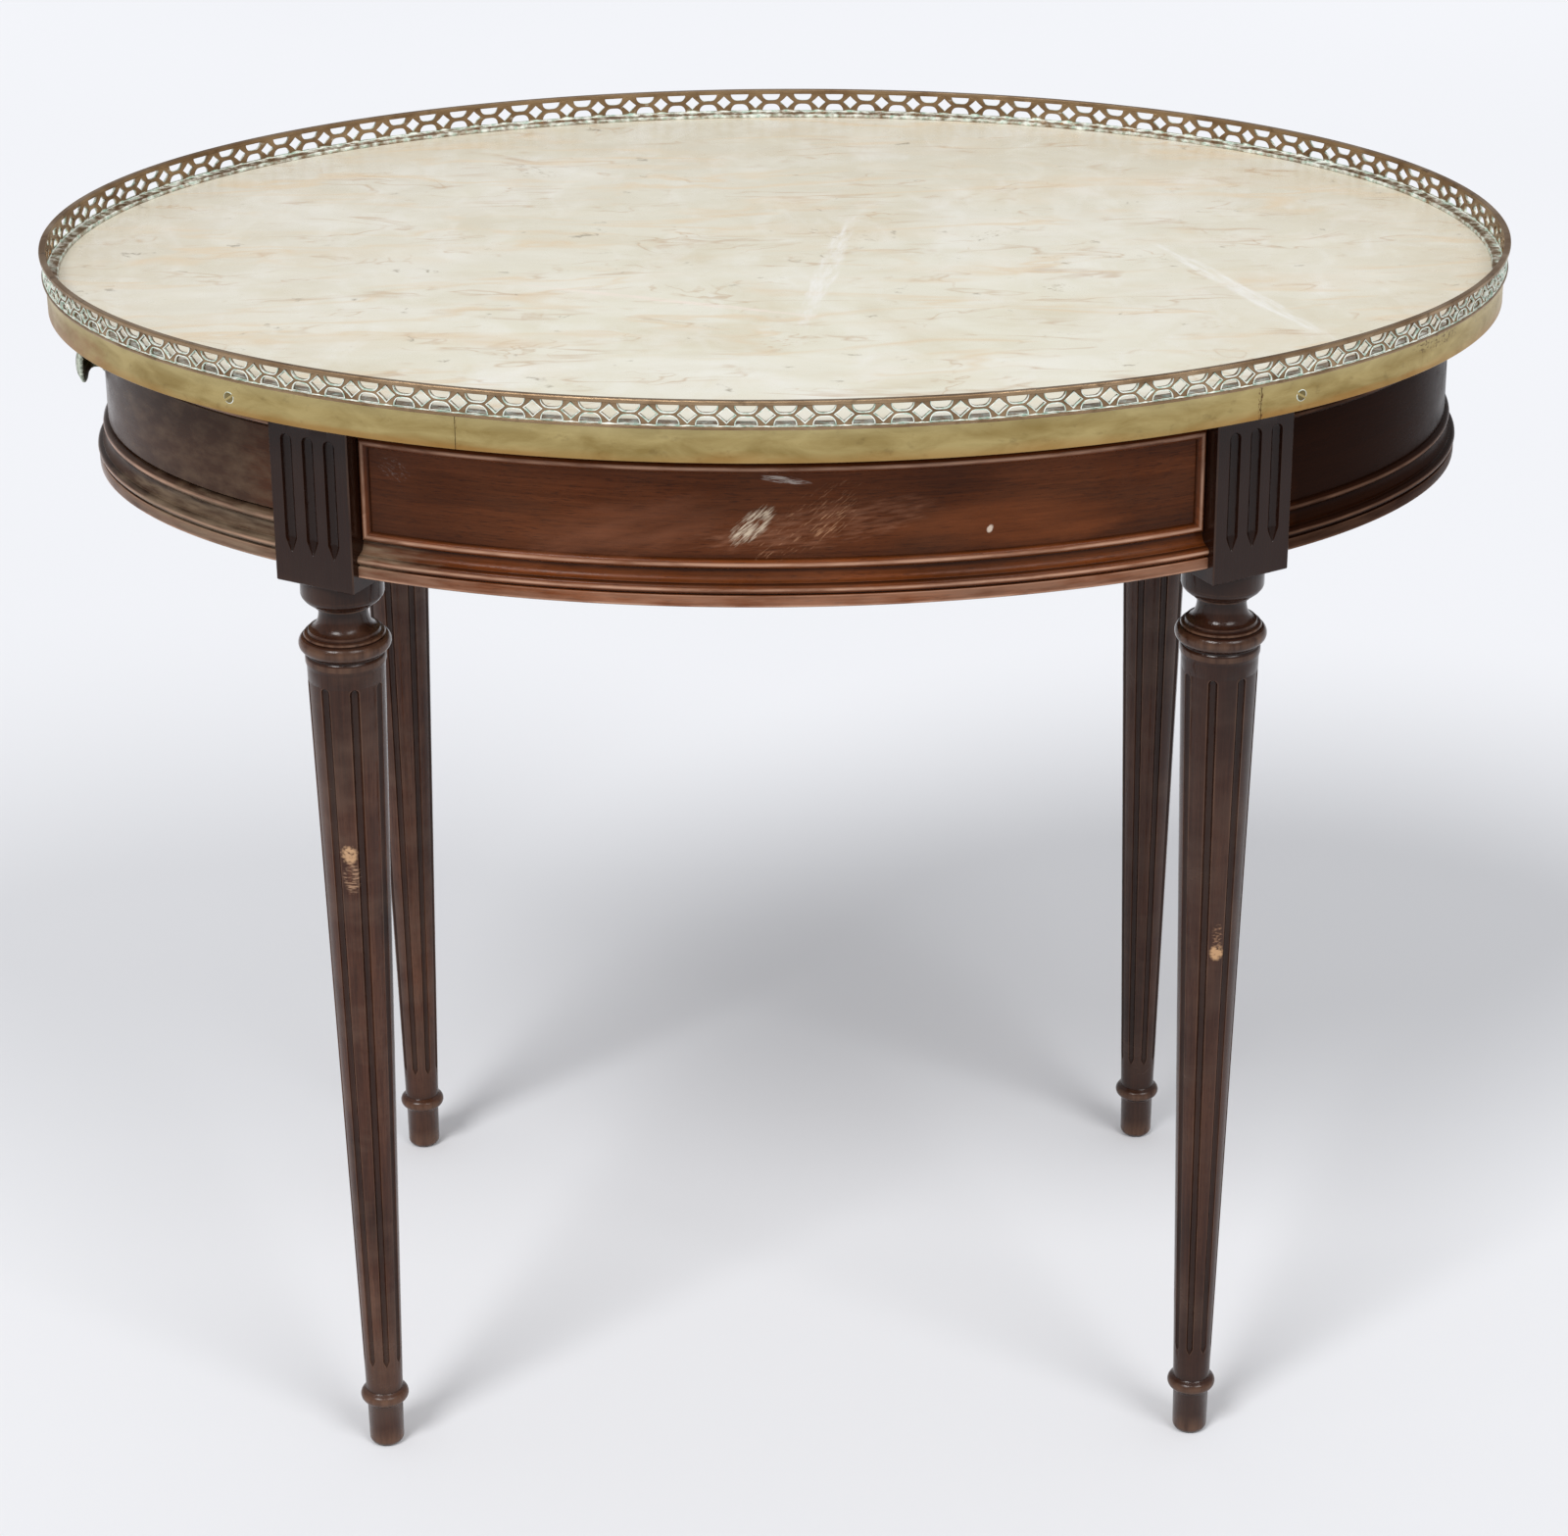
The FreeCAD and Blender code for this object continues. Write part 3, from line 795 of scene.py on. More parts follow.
@dataclass(frozen=True)
class CreamMarble(Finish):
    """Polished cream marble: softly clouded, with hairline cracks and a few white veins."""

    deep: str = "#D8D0B8"
    cream: str = "#E1DDCA"
    pale: str = "#E8E5D7"
    tan: str = "#DDC8A8"
    white: str = "#EFEEE8"
    rust: str = "#B8946C"
    flaw: str = "#8F8470"
    gloss: float = 0.4
    tones: tuple[Tone, ...] = ()
    marks: tuple[Mark, ...] = ()

    def paint(self, tree: Tree, place: Socket) -> dict[str, object]:
        """Lay clouds, hairlines and veins, and a polish with faint wear.

        Args:
            tree: the material's tree.
            place: where the surface is, in metres.

        Returns:
            Colour, roughness, faint relief and gloss.
        """
        clouds = cloud(tree, place, (120.0, 90.0, 100.0), 7.0, 0.8)
        colour = add(tree, RAMP, (clouds,), stops=((0.34, self.deep), (0.50, self.cream), (0.66, self.pale)))
        colour = toned(tree, place, colour, self.tones)
        for shade, size, start, full, strength, seed in (
            (self.tan, (110.0, 34.0, 40.0), 0.50, 0.78, 0.40, 3.0),
            (self.white, (30.0, 55.0, 40.0), 0.50, 0.76, 0.45, 11.0),
            (self.white, (150.0, 130.0, 90.0), 0.50, 0.75, 0.40, 23.0),
            (self.deep, (90.0, 30.0, 40.0), 0.50, 0.76, 0.35, 31.0),
            (self.pale, (30.0, 20.0, 12.0), 0.50, 0.72, 0.35, 37.0),
        ):
            wash = patches(tree, place, size, start, full, strength, detail=7.0, bend=0.6, seed=seed)
            colour = laid(tree, colour, (wash, shade))
        for shade, size, width, strength, gaps, seed in (
            (self.rust, (150.0, 40.0, 20.0), 0.022, 0.50, (0.50, 0.62), 5.0),
            (self.rust, (90.0, 44.0, 20.0), 0.014, 0.50, (0.52, 0.64), 17.0),
            (self.tan, (190.0, 52.0, 20.0), 0.045, 0.70, (0.44, 0.60), 53.0),
            (self.flaw, (30.0, 26.0, 10.0), 0.040, 0.75, (0.64, 0.70), 29.0),
        ):
            colour = laid(tree, colour, (hairline(tree, place, size, width, strength, gaps, seed), shade))
        wear = patches(tree, place, (30.0, 30.0, 30.0), 0.35, 0.70, detail=6.0)
        faint = {"Height": wear, "Strength": 0.06, "Distance": 0.3 * MILLIMETRE}
        return {
            "Base Color": marked(tree, place, colour, self.marks),
            "Roughness": add(tree, RANGE, (wear, 0.0, 1.0, 0.22, 0.36)),
            "Normal": add(tree, "ShaderNodeBump", faint),
            "Specular IOR Level": self.gloss,
        }


@dataclass(frozen=True)
class AgedBrass(Finish):
    """Old brass: metal dulled brown, with chalky green verdigris where it was never rubbed.

    The crest value steers it: 1 is a rim that keeps its crust of verdigris, and below
    about 0.6 the metal is bare.
    """

    metal: str = "#A88E70"
    dull: str = "#7E644A"
    verdigris: str = "#A9C6B5"
    chalk: str = "#EDF1E8"
    stain: str = "#4A3622"
    cover: float = 1.0
    start: float = 0.62
    full: float = 0.80
    stains: float = 0.5
    roughness: tuple[float, float] = (0.34, 0.62)
    scratch: Triple = (6.0, 6.0, 0.5)
    tones: tuple[Tone, ...] = ()
    marks: tuple[Mark, ...] = ()

    def paint(self, tree: Tree, place: Socket) -> dict[str, object]:
        """Lay tarnish over metal, stains, then verdigris that is no longer metallic.

        Args:
            tree: the material's tree.
            place: where the surface is, in metres.

        Returns:
            Colour, metal, roughness and the relief of crust and scratches.
        """
        tarnish = patches(tree, place, (34.0, 34.0, 12.0), 0.36, 0.68, detail=7.0, bend=0.5)
        metal = add(tree, RAMP, (tarnish,), stops=((0.0, self.metal), (1.0, self.dull)))
        spots = patches(tree, place, (9.0, 9.0, 6.0), 0.60, 0.72, self.stains, detail=6.0)
        metal = toned(tree, place, laid(tree, metal, (spots, self.stain)), self.tones)
        metal = marked(tree, place, metal, self.marks)
        chalky = patches(tree, place, (3.5, 3.5, 2.5), 0.36, 0.56, detail=4.0)
        crust = add(tree, RAMP, (chalky,), stops=((0.0, self.verdigris), (1.0, self.chalk)))
        crest = add(tree, "ShaderNodeAttribute", output="Fac", attribute_name="crest")
        ragged = cloud(tree, place, (6.0, 6.0, 4.0), 6.0)
        lowered = add(tree, MATH, (crest, 0.3), operation="SUBTRACT")
        level = add(tree, MATH, (ragged, 0.6, lowered), operation="MULTIPLY_ADD")
        green = add(tree, RANGE, (level, self.start, self.full, 0.0, self.cover))
        scratches = patches(tree, place, self.scratch, 0.40, 0.60)
        uneven = add(tree, MATH, (tarnish, 0.7, green), operation="MULTIPLY_ADD")
        height = add(tree, MATH, (green, 2.0, scratches), operation="MULTIPLY_ADD")
        proud = {"Height": height, "Strength": 0.2, "Distance": 0.2 * MILLIMETRE}
        return {
            "Base Color": laid(tree, metal, (green, crust)),
            "Metallic": add(tree, RANGE, (green, 0.0, 0.8, 1.0, 0.0)),
            "Roughness": add(tree, RANGE, (uneven, 0.0, 1.0, *self.roughness)),
            "Normal": add(tree, "ShaderNodeBump", proud),
        }


@dataclass(frozen=True)
class SeamlessPaper(Finish):
    """Pale seamless background paper: matt, very slightly cool, faintly uneven."""

    pale: str = "#E9EAED"
    soiled: str = "#E6E7EA"
    patch: float = 1500.0
    roughness: float = 0.95
    gloss: float = 0.1

    def paint(self, tree: Tree, place: Socket) -> dict[str, object]:
        """Lay broad faint unevenness and no gloss.

        Args:
            tree: the material's tree.
            place: where the surface is, in metres.

        Returns:
            Colour, roughness and gloss.
        """
        uneven = patches(tree, place, (self.patch, self.patch, self.patch), 0.30, 0.70, detail=1.0)
        paper = add(tree, RAMP, (uneven,), stops=((0.0, self.pale), (1.0, self.soiled)))
        return {"Base Color": paper, "Roughness": self.roughness, "Specular IOR Level": self.gloss}


# Camera and studio


@dataclass(frozen=True)
class TableCamera:
    """Long lens a little above the table, looking down at its front.

    Places are in metres, turn, dip and roll in radians, lens and sensor in millimetres.
    """

    place: Triple = (-0.02954, -2.55546, 1.56149)
    turn: float = -0.0305
    dip: float = 0.430
    roll: float = 0.0009
    lens: float = 97.80
    sensor: float = 36.0
    shift: float = -0.045
    near: float = 0.05
    far: float = 60.0

    def build(self) -> None:
        """Make the camera and hand it to the scene."""
        data = bpy.data.cameras.new("table_camera")
        data.lens = self.lens
        data.sensor_width = self.sensor
        data.shift_x = self.shift
        data.clip_start = self.near
        data.clip_end = self.far
        camera = linked("table_camera", data)
        heading = Matrix.Rotation(self.turn, 4, "Z")
        pitch = Matrix.Rotation(QUARTER_TURN - self.dip, 4, "X")
        roll = Matrix.Rotation(self.roll, 4, "Z")
        camera.matrix_world = Matrix.Translation(self.place) @ heading @ pitch @ roll
        bpy.context.scene.camera = camera


@dataclass(frozen=True)
class Softbox:
    """One lamp: where it stands as seen from the table, its width in degrees and its power."""

    name: str
    bearing: float
    height: float
    width: float
    power: float

    def build(self) -> None:
        """Hang the lamp far off, so that its light is even, and turn it to the table."""
        data = bpy.data.lights.new(self.name, "SUN")
        data.energy = self.power
        data.angle = math.radians(self.width)
        lamp = linked(self.name, data)
        lamp.rotation_euler = (math.radians(90 - self.height), 0.0, math.radians(self.bearing))


@dataclass(frozen=True)
class Studio:
    """Pale paper floor under two broad lamps, with an even surround."""

    floor_reach: float = 24.0
    surround: str = "#E9EAED"
    surround_light: float = 0.61
    surround_seen: float = 0.95
    softboxes: tuple[Softbox, ...] = (
        Softbox("key_lamp", -34.0, 48.0, 20.0, 1.68),
        Softbox("fill_lamp", 37.0, 46.0, 24.0, 1.0),
    )

    def build(self) -> None:
        """Lay the floor, light the surround and hang the lamps."""
        draft = Draft()
        reach = self.floor_reach
        corners = ((-reach, -reach), (reach, -reach), (reach, reach), (-reach, reach))
        draft.faces.append(tuple(draft.row(((x, y, 0), 0.5) for x, y in corners)))
        floor = linked("studio_floor", draft.mesh("studio_floor"))
        floor.data.materials.append(SeamlessPaper("seamless_paper").material())
        world = bpy.data.worlds.new("studio_surround")
        world.use_nodes = True
        tree = world.node_tree
        tree.nodes.clear()
        pale = linear(self.surround)
        light = add(tree, "ShaderNodeBackground", (pale, self.surround_light))
        seen = add(tree, "ShaderNodeBackground", (pale, self.surround_seen))
        by_camera = add(tree, "ShaderNodeLightPath", output="Is Camera Ray")
        either = add(tree, "ShaderNodeMixShader", (by_camera, light, seen))
        add(tree, "ShaderNodeOutputWorld", (either,))
        bpy.context.scene.world = world
        for softbox in self.softboxes:
            softbox.build()
        bpy.context.scene.view_settings.view_transform = "Standard"


# Geometry trees


@dataclass
class ShapeTree:
    """A geometry tree that makes what repeats, its named inputs each with a kind and a value."""

    name: str
    inputs: dict[str, tuple[str, object]]

    def __post_init__(self) -> None:
        """Start the tree with its geometry sockets and the node that gives its inputs."""
        self.tree = bpy.data.node_groups.new(self.name, "GeometryNodeTree")
        new_socket = self.tree.interface.new_socket
        for way in ("INPUT", "OUTPUT"):
            new_socket(name="Geometry", in_out=way, socket_type="NodeSocketGeometry")
        self.names = {
            name: new_socket(name=name, in_out="INPUT", socket_type=f"NodeSocket{kind}").identifier
            for name, (kind, _) in self.inputs.items()
        }
        self.given = add(self.tree, "NodeGroupInput").node.outputs

    def close(self, geometry: Socket) -> None:
        """Make the instances real, lay on the finish and end the tree."""
        real = add(self.tree, "GeometryNodeRealizeInstances", (geometry,))
        inputs = {"Geometry": real, "Material": self.given["Finish"]}
        coated = add(self.tree, "GeometryNodeSetMaterial", inputs)
        add(self.tree, "NodeGroupOutput", (coated,))

    def run(self, name: str, start: Mesh, **changed: object) -> Mesh:
        """Evaluate the tree on a mesh and give back a plain one.

        Args:
            name: name of the new mesh.
            start: mesh that carries the modifier.
            **changed: values of inputs that differ from the tree's own.

        Returns:
            The plain mesh.
        """
        carrier = linked(f"{name}_carrier", start)
        modifier = carrier.modifiers.new(self.name, "NODES")
        modifier.node_group = self.tree
        for key, (_, value) in self.inputs.items():
            modifier[self.names[key]] = changed.get(key, value)
        graph = bpy.context.evaluated_depsgraph_get()
        shaped = carrier.evaluated_get(graph)
        made = bpy.data.meshes.new_from_object(shaped, preserve_all_data_layers=True, depsgraph=graph)
        made.name = name
        bpy.data.objects.remove(carrier)
        return made


# Gallery


@dataclass
class Gallery:
    """Pierced brass gallery: sixteen cast strips of seven units round the marble.

    Depths are measured inwards from the rail's outer oval.
    """

    finish: Finish
    strips: int = 16
    units: int = 7
    phase: float = 1.5
    rail_height: float = 2.6
    plate_front: float = 2.0
    plate_back: float = 3.8
    rail_back: float = 4.0
    foot_reach: float = 11.0
    foot_top: float = 2.6
    bead_top: float = 2.3
    lunette_half: float = 6.1
    lozenge_half: float = 5.0
    lozenge_rise: float = 4.5
    waist: float = 1.15
    rim_width: float = 0.75
    rim_proud: float = 0.6
    clearance: float = 0.1
    waist_lift: float = 0.3
    moon_under_rail: float = 0.25
    moon_over_foot: float = 0.55
    flat_growth: float = 0.25

    def __post_init__(self) -> None:
        """Take the gallery's outer oval and its levels from the frame."""
        boxes = [frame_millimetres(f"gallery_strip_{number + 1:02d}") for number in range(self.strips)]
        reach = [max(high[axis] for _, high in boxes) for axis in (0, 1)]
        self.oval = Oval(*reach).grown(-self.clearance)
        self.seat = min(low.z for low, _ in boxes)
        self.top = max(high.z for _, high in boxes)
        line = self.oval.polyline()
        self.length = sum((after - before).length for before, after in zip(line, line[1:]))
        self.pitch = self.length / (self.strips * self.units)
        self.rail_base = self.top - self.rail_height
        self.plate_base = self.seat + self.bead_top
        self.middle = (self.plate_base + self.rail_base) / 2 + self.waist_lift

    def lunette(self, upper: bool, grow: float) -> list[tuple[float, float]]:
        """Outline of one of the facing half moons, flat side away from the waist.

        Args:
            upper: the one under the rail, or the one over the foot.
            grow: how far outside the opening's own edge it runs.

        Returns:
            Run and height of its points.
        """
        sign = 1.0 if upper else -1.0
        flat = self.rail_base - self.moon_under_rail if upper else self.plate_base + self.moon_over_foot
        wide = self.lunette_half + grow
        deep = abs(flat - (self.middle + sign * self.waist)) + grow
        shape = [(1.0, 0.0), (0.985, 0.22), (0.92, 0.47), (0.80, 0.70)]
        shape += [(0.64, 0.88), (0.46, 0.97), (0.23, 1.0)]
        right = [(wide * x, flat - sign * (deep * y if y else -grow * self.flat_growth)) for x, y in shape]
        return right + [(0.0, flat - sign * deep)] + [(-x, z) for x, z in reversed(right)]

    def lozenge_edge(self, side: float, grow: float) -> list[tuple[float, float]]:
        """The half of a lozenge at one end of a unit, from its lower to its upper tip.

        Args:
            side: -1 for the unit's left end, 1 for its right.
            grow: how far outside the opening's own edge it runs.

        Returns:
            Run and height of its points.
        """
        slope = math.hypot(self.lozenge_half, self.lozenge_rise)
        half = self.lozenge_half + grow * slope / self.lozenge_rise
        rise = self.lozenge_rise + grow * slope / self.lozenge_half
        edge = side * self.pitch / 2
        lower = [(0.0, -1.0), (0.44, -0.52), (0.9, -0.09)]
        shares = lower + [(1.0, 0.0)] + [(x, -z) for x, z in reversed(lower)]
        return [(edge - side * half * x, self.middle + rise * z) for x, z in shares]

    def rim(self) -> Profile:
        """How far outside an opening's edge, how deep and how exposed its raised rim is."""
        crown = self.plate_front - self.rim_proud
        return [
            (self.rim_width, self.plate_front, 0.45),
            (self.rim_width * 0.6, crown, 1.0),
            (self.rim_width * 0.1, crown, 1.0),
            (0.0, self.plate_front, 0.8),
            (0.0, self.plate_back, 0.55),
        ]

    def rail_section(self) -> Profile:
        """Depth, height and crest round the rail, from the plate's front over to its back."""
        top, base = self.top, self.rail_base
        return [
            (self.plate_front, base, 0.45),
            (0.55, base, 0.35),
            (0.1, base + 0.4, 0.3),
            (0.0, base + 1.2, 0.25),
            (0.12, top - 0.5, 0.15),
            (0.6, top, 0.1),
            (self.rail_back - 0.6, top, 0.1),
            (self.rail_back, top - 0.5, 0.1),
            (self.rail_back, base + 0.3, 0.1),
            (self.plate_back, base, 0.15),
        ]

    def foot_section(self) -> Profile:
        """Depth, height and crest round the bead and the foot, from front to back."""
        seat, bead, foot = self.seat, self.plate_base, self.seat + self.foot_top
        return [
            (self.plate_front, bead, 1.0),
            (1.5, bead - 0.1, 0.75),
            (0.9, bead - 0.6, 0.35),
            (0.75, bead - 1.2, 0.30),
            (1.0, bead - 1.9, 0.35),
            (1.6, seat, 0.7),
            (self.foot_reach - 0.3, seat, 0.6),
            (self.foot_reach, seat + 0.3, 0.7),
            (self.foot_reach - 0.2, foot - 0.6, 0.75),
            (self.foot_reach - 0.9, foot - 0.1, 0.62),
            (self.plate_back + 0.8, foot, 0.72),
            (self.plate_back, foot + 0.35, 0.9),
        ]

    def unit(self) -> Mesh:
        """One unit of the pierced plate with its rail and foot, open at both ends.

        Returns:
            The mesh, in millimetres.
        """
        draft = Draft()
        moons = [partial(self.lunette, upper) for upper in (True, False)]
        lozenges = [partial(self.lozenge_edge, side) for side in (-1.0, 1.0)]
        openings = []
        for outline in moons + lozenges:
            rows = [
                draft.row(((x, depth, z), crest) for x, z in outline(grow))
                for grow, depth, crest in self.rim()
            ]
            draft.skin(rows, closed=outline in moons)
            openings.append(rows)
        runs = [self.pitch * share for share in (-0.5, -0.25, 0.0, 0.25, 0.5)]
        edges = []
        for section in (self.rail_section(), self.foot_section()):
            rows = [draft.row(((run, depth, z), crest) for run in runs) for depth, z, crest in section]
            draft.skin(rows, closed=False)
            edges.append(rows)
        for face in (0, -1):
            upper, lower, left, right, over, under = (rows[face] for rows in openings + edges)
            draft.fill([under + right + over[::-1] + left[::-1], upper, lower], axes=(0, 2))
        return draft.mesh("gallery_unit")

    def end_caps(self) -> Mesh:
        """The cut ends of the rail and the foot, at both ends of a strip.

        Returns:
            The mesh, in millimetres.
        """
        draft = Draft()
        half = self.pitch / 2
        slope = math.hypot(self.lozenge_half, self.lozenge_rise) / self.lozenge_half
        for run in (-half, self.pitch * self.units - half):
            for section, sign in ((self.rail_section(), 1.0), (self.foot_section(), -1.0)):
                web = [
                    (depth, self.middle + sign * (self.lozenge_rise + grow * slope), crest)
                    for grow, depth, crest in reversed(self.rim())
                ]
                loop = draft.row(((run, depth, z), crest) for depth, z, crest in section + web)
                draft.fill([loop], axes=(1, 2))
        return draft.mesh("gallery_ends")

    def strip_tree(self, finish: Material) -> ShapeTree:
        """Tree that lines up the units of a strip, closes it and bends it round the oval.

        Args:
            finish: the gallery's material.

        Returns:
            The tree.
        """
        curve = bpy.data.curves.new("gallery_oval", "CURVE")
        curve.dimensions = "3D"
        spline = curve.splines.new("POLY")
        line = self.oval.polyline()
        spline.points.add(len(line) - 1)
        for point, place in zip(spline.points, line):
            point.co = (*place, 1.0)
        parts = (("Unit", self.unit()), ("Ends", self.end_caps()), ("Oval", curve))
        hidden = {key: ("Object", bpy.data.objects.new(data.name, data)) for key, data in parts}
        sizes = {"Pitch": self.pitch, "Start": 0.0, "Length": self.length, "Millimetre": MILLIMETRE}
        floats = {key: ("Float", size) for key, size in sizes.items()}
        inputs = {**hidden, **floats, "Units": ("Int", self.units), "Finish": ("Material", finish)}
        shape = ShapeTree("gallery_strip_shape", inputs)
        tree, given = shape.tree, shape.given
        step = add(tree, "ShaderNodeCombineXYZ", (given["Pitch"],))
        places = add(tree, "GeometryNodeMeshLine", {"Count": given["Units"], "Offset": step})
        unit, ends, oval = (
            add(tree, "GeometryNodeObjectInfo", {"Object": given[key]}, "Geometry") for key in hidden
        )
        row = add(tree, "GeometryNodeInstanceOnPoints", {"Points": places, "Instance": unit})
        real = add(tree, "GeometryNodeRealizeInstances", (row,))
        joined = add(tree, "GeometryNodeJoinGeometry", (real,))
        tree.links.new(ends, joined.node.inputs[0])
        merged = add(tree, "GeometryNodeMergeByDistance", {"Geometry": joined, "Distance": ONE_POINT})
        here = add(tree, "ShaderNodeSeparateXYZ", (add(tree, "GeometryNodeInputPosition"),)).node.outputs
        run = add(tree, MATH, (here["X"], given["Start"]), operation="ADD")
        wrapped = add(tree, MATH, (run, given["Length"], 0.0), operation="WRAP")
        on_oval = {"Curves": oval, "Length": wrapped}
        sample = add(tree, "GeometryNodeSampleCurve", on_oval, mode="LENGTH").node.outputs
        inwards = add(tree, VECTOR_MATH, ((0.0, 0.0, 1.0), sample["Tangent"]), operation="CROSS_PRODUCT")
        deep = add(tree, VECTOR_MATH, {0: inwards, "Scale": here["Y"]}, operation="SCALE")
        high = add(tree, "ShaderNodeCombineXYZ", {"Z": here["Z"]})
        level = add(tree, VECTOR_MATH, (sample["Position"], deep), operation="ADD")
        bent = add(tree, VECTOR_MATH, (level, high), operation="ADD")
        scaled = add(tree, VECTOR_MATH, {0: bent, "Scale": given["Millimetre"]}, operation="SCALE")
        shape.close(add(tree, "GeometryNodeSetPosition", {"Geometry": merged, "Position": scaled}))
        return shape

    def build(self) -> None:
        """Make the sixteen strips, each in place of its node."""
        finish = self.finish.material()
        shape = self.strip_tree(finish)
        for number in range(self.strips):
            node = f"gallery_strip_{number + 1:02d}"
            start = (number * self.units - self.phase + 0.5) * self.pitch
            mesh = shape.run(f"{node}_casting", bpy.data.meshes.new(f"{node}_start"), Start=start)
            put(f"{node}_casting", mesh, finish, "table", "gallery_brass", [node])


# Band and its screws


@dataclass
class Band:
    """Rolled brass band round the marble and its bed, in four lengths held by screws.

    Its seams and screws stand at angles of its oval, in degrees.
    """

    finish: Finish
    screw_finish: Finish
    seams: tuple[float, ...] = (-114.2, -52.8, 66.0, 127.0)
    screws: tuple[float, ...] = (-134.8, -48.7, 47.0, 133.0)
    seam_gap: float = 0.35
    thickness: float = 1.5
    edge: float = 0.35
    steps: int = 96
    screw_height: float = 731.5
    screw_radius: float = 3.6
    screw_proud: float = 0.5
    screw_sunk: float = -1.0
    slot_half: float = 0.65
    slot_floor: float = -0.35

    def __post_init__(self) -> None:
        """Take the band's oval and its levels from the frame."""
        low, high = frame_millimetres("brass_band")
        self.oval = Oval(high.x, high.y)
        self.base = low.z
        self.top = high.z

    def section(self) -> Profile:
        """The band's section, its edges eased on the outside."""
        inner, edge = -self.thickness, self.edge
        low = [(inner, self.base, 0.3), (-edge, self.base, 0.3), (0.0, self.base + edge, 0.3)]
        return low + [(0.0, self.top - edge, 0.3), (-edge, self.top, 0.45), (inner, self.top, 0.45)]

    def short_of_seams(self, first: float, last: float, own: Oval) -> tuple[float, float]:
        """First and last angle of one length on its own oval, short of its seams."""
        back = self.seam_gap / 2 / own.speed(first)
        return first + back, last - back

    def screw_head(self) -> Mesh:
        """A slotted head of two raised halves over a slot floor, its axis along Z.

        Returns:
            The mesh, in millimetres.
        """
        draft = Draft()
        steps = 8
        rings = (
            (1.0, self.screw_sunk, 0.9),
            (1.0, 0.12, 0.9),
            (0.82, self.screw_proud * 0.8, 0.5),
            (0.45, self.screw_proud, 0.3),
        )
        for side in (-1.0, 1.0):
            rows = []
            for share, height, crest in rings:
                radius = self.screw_radius * share
                start = math.asin(self.slot_half / radius)
                turns = [start + (math.pi - 2 * start) * step / steps for step in range(steps + 1)]
                ring = ((radius * math.cos(turn), side * radius * math.sin(turn), height) for turn in turns)
                rows.append(draft.row((place, crest) for place in ring))
            draft.skin(rows, capped=True)
        long, wide = self.screw_radius * 0.93, self.slot_half * 1.4
        corners = ((-long, -wide), (long, -wide), (long, wide), (-long, wide))
        levels = (self.screw_sunk, self.slot_floor)
        draft.skin([draft.row(((x, y, z), 0.2) for x, y in corners) for z in levels], capped=True)
        return draft.mesh("band_screw_head")

    def screw_meshes(self, finish: Material) -> Mesh:
        """Set a screw head on each of its places, facing outwards, with a geometry tree.

        Args:
            finish: the screws' material.

        Returns:
            The four screws in one mesh.
        """
        angles = [math.radians(angle) for angle in self.screws]
        places = bpy.data.meshes.new("band_screw_places")
        points = [self.oval.point(angle, self.screw_height) * MILLIMETRE for angle in angles]
        places.from_pydata(points, [], [])
        directions = [length for angle in angles for length in self.oval.outwards(angle)]
        places.attributes.new("facing", "FLOAT_VECTOR", "POINT").data.foreach_set("vector", directions)
        head = bpy.data.objects.new("band_screw_head", self.screw_head())
        inputs = {
            "Screw": ("Object", head),
            "Millimetre": ("Float", MILLIMETRE),
            "Finish": ("Material", finish),
        }
        shape = ShapeTree("band_screw_shape", inputs)
        tree, given = shape.tree, shape.given
        screw = add(tree, "GeometryNodeObjectInfo", {"Object": given["Screw"]}, "Geometry")
        facing = add(tree, "GeometryNodeInputNamedAttribute", {"Name": "facing"}, data_type="FLOAT_VECTOR")
        turned = add(tree, "FunctionNodeAlignRotationToVector", {"Vector": facing}, axis="Z")
        set_on = {"Points": given["Geometry"], "Instance": screw, "Rotation": turned}
        sized = {**set_on, "Scale": given["Millimetre"]}
        shape.close(add(tree, "GeometryNodeInstanceOnPoints", sized))
        return shape.run("band_screws", places)

    def build(self) -> None:
        """Make the four lengths as one piece, and the screws as another."""
        draft = Draft()
        seams = [math.radians(seam) for seam in self.seams]
        for first, last in zip(seams, seams[1:] + [seams[0] + FULL_TURN]):
            draft.add(swept(self.oval, self.section(), partial(self.short_of_seams, first, last), self.steps))
        put("band_lengths", draft, self.finish.material(), "table", "band_brass", ["brass_band"])
        brass = self.screw_finish.material()
        put("band_screws", self.screw_meshes(brass), brass, "table", "band_brass")


# Frieze


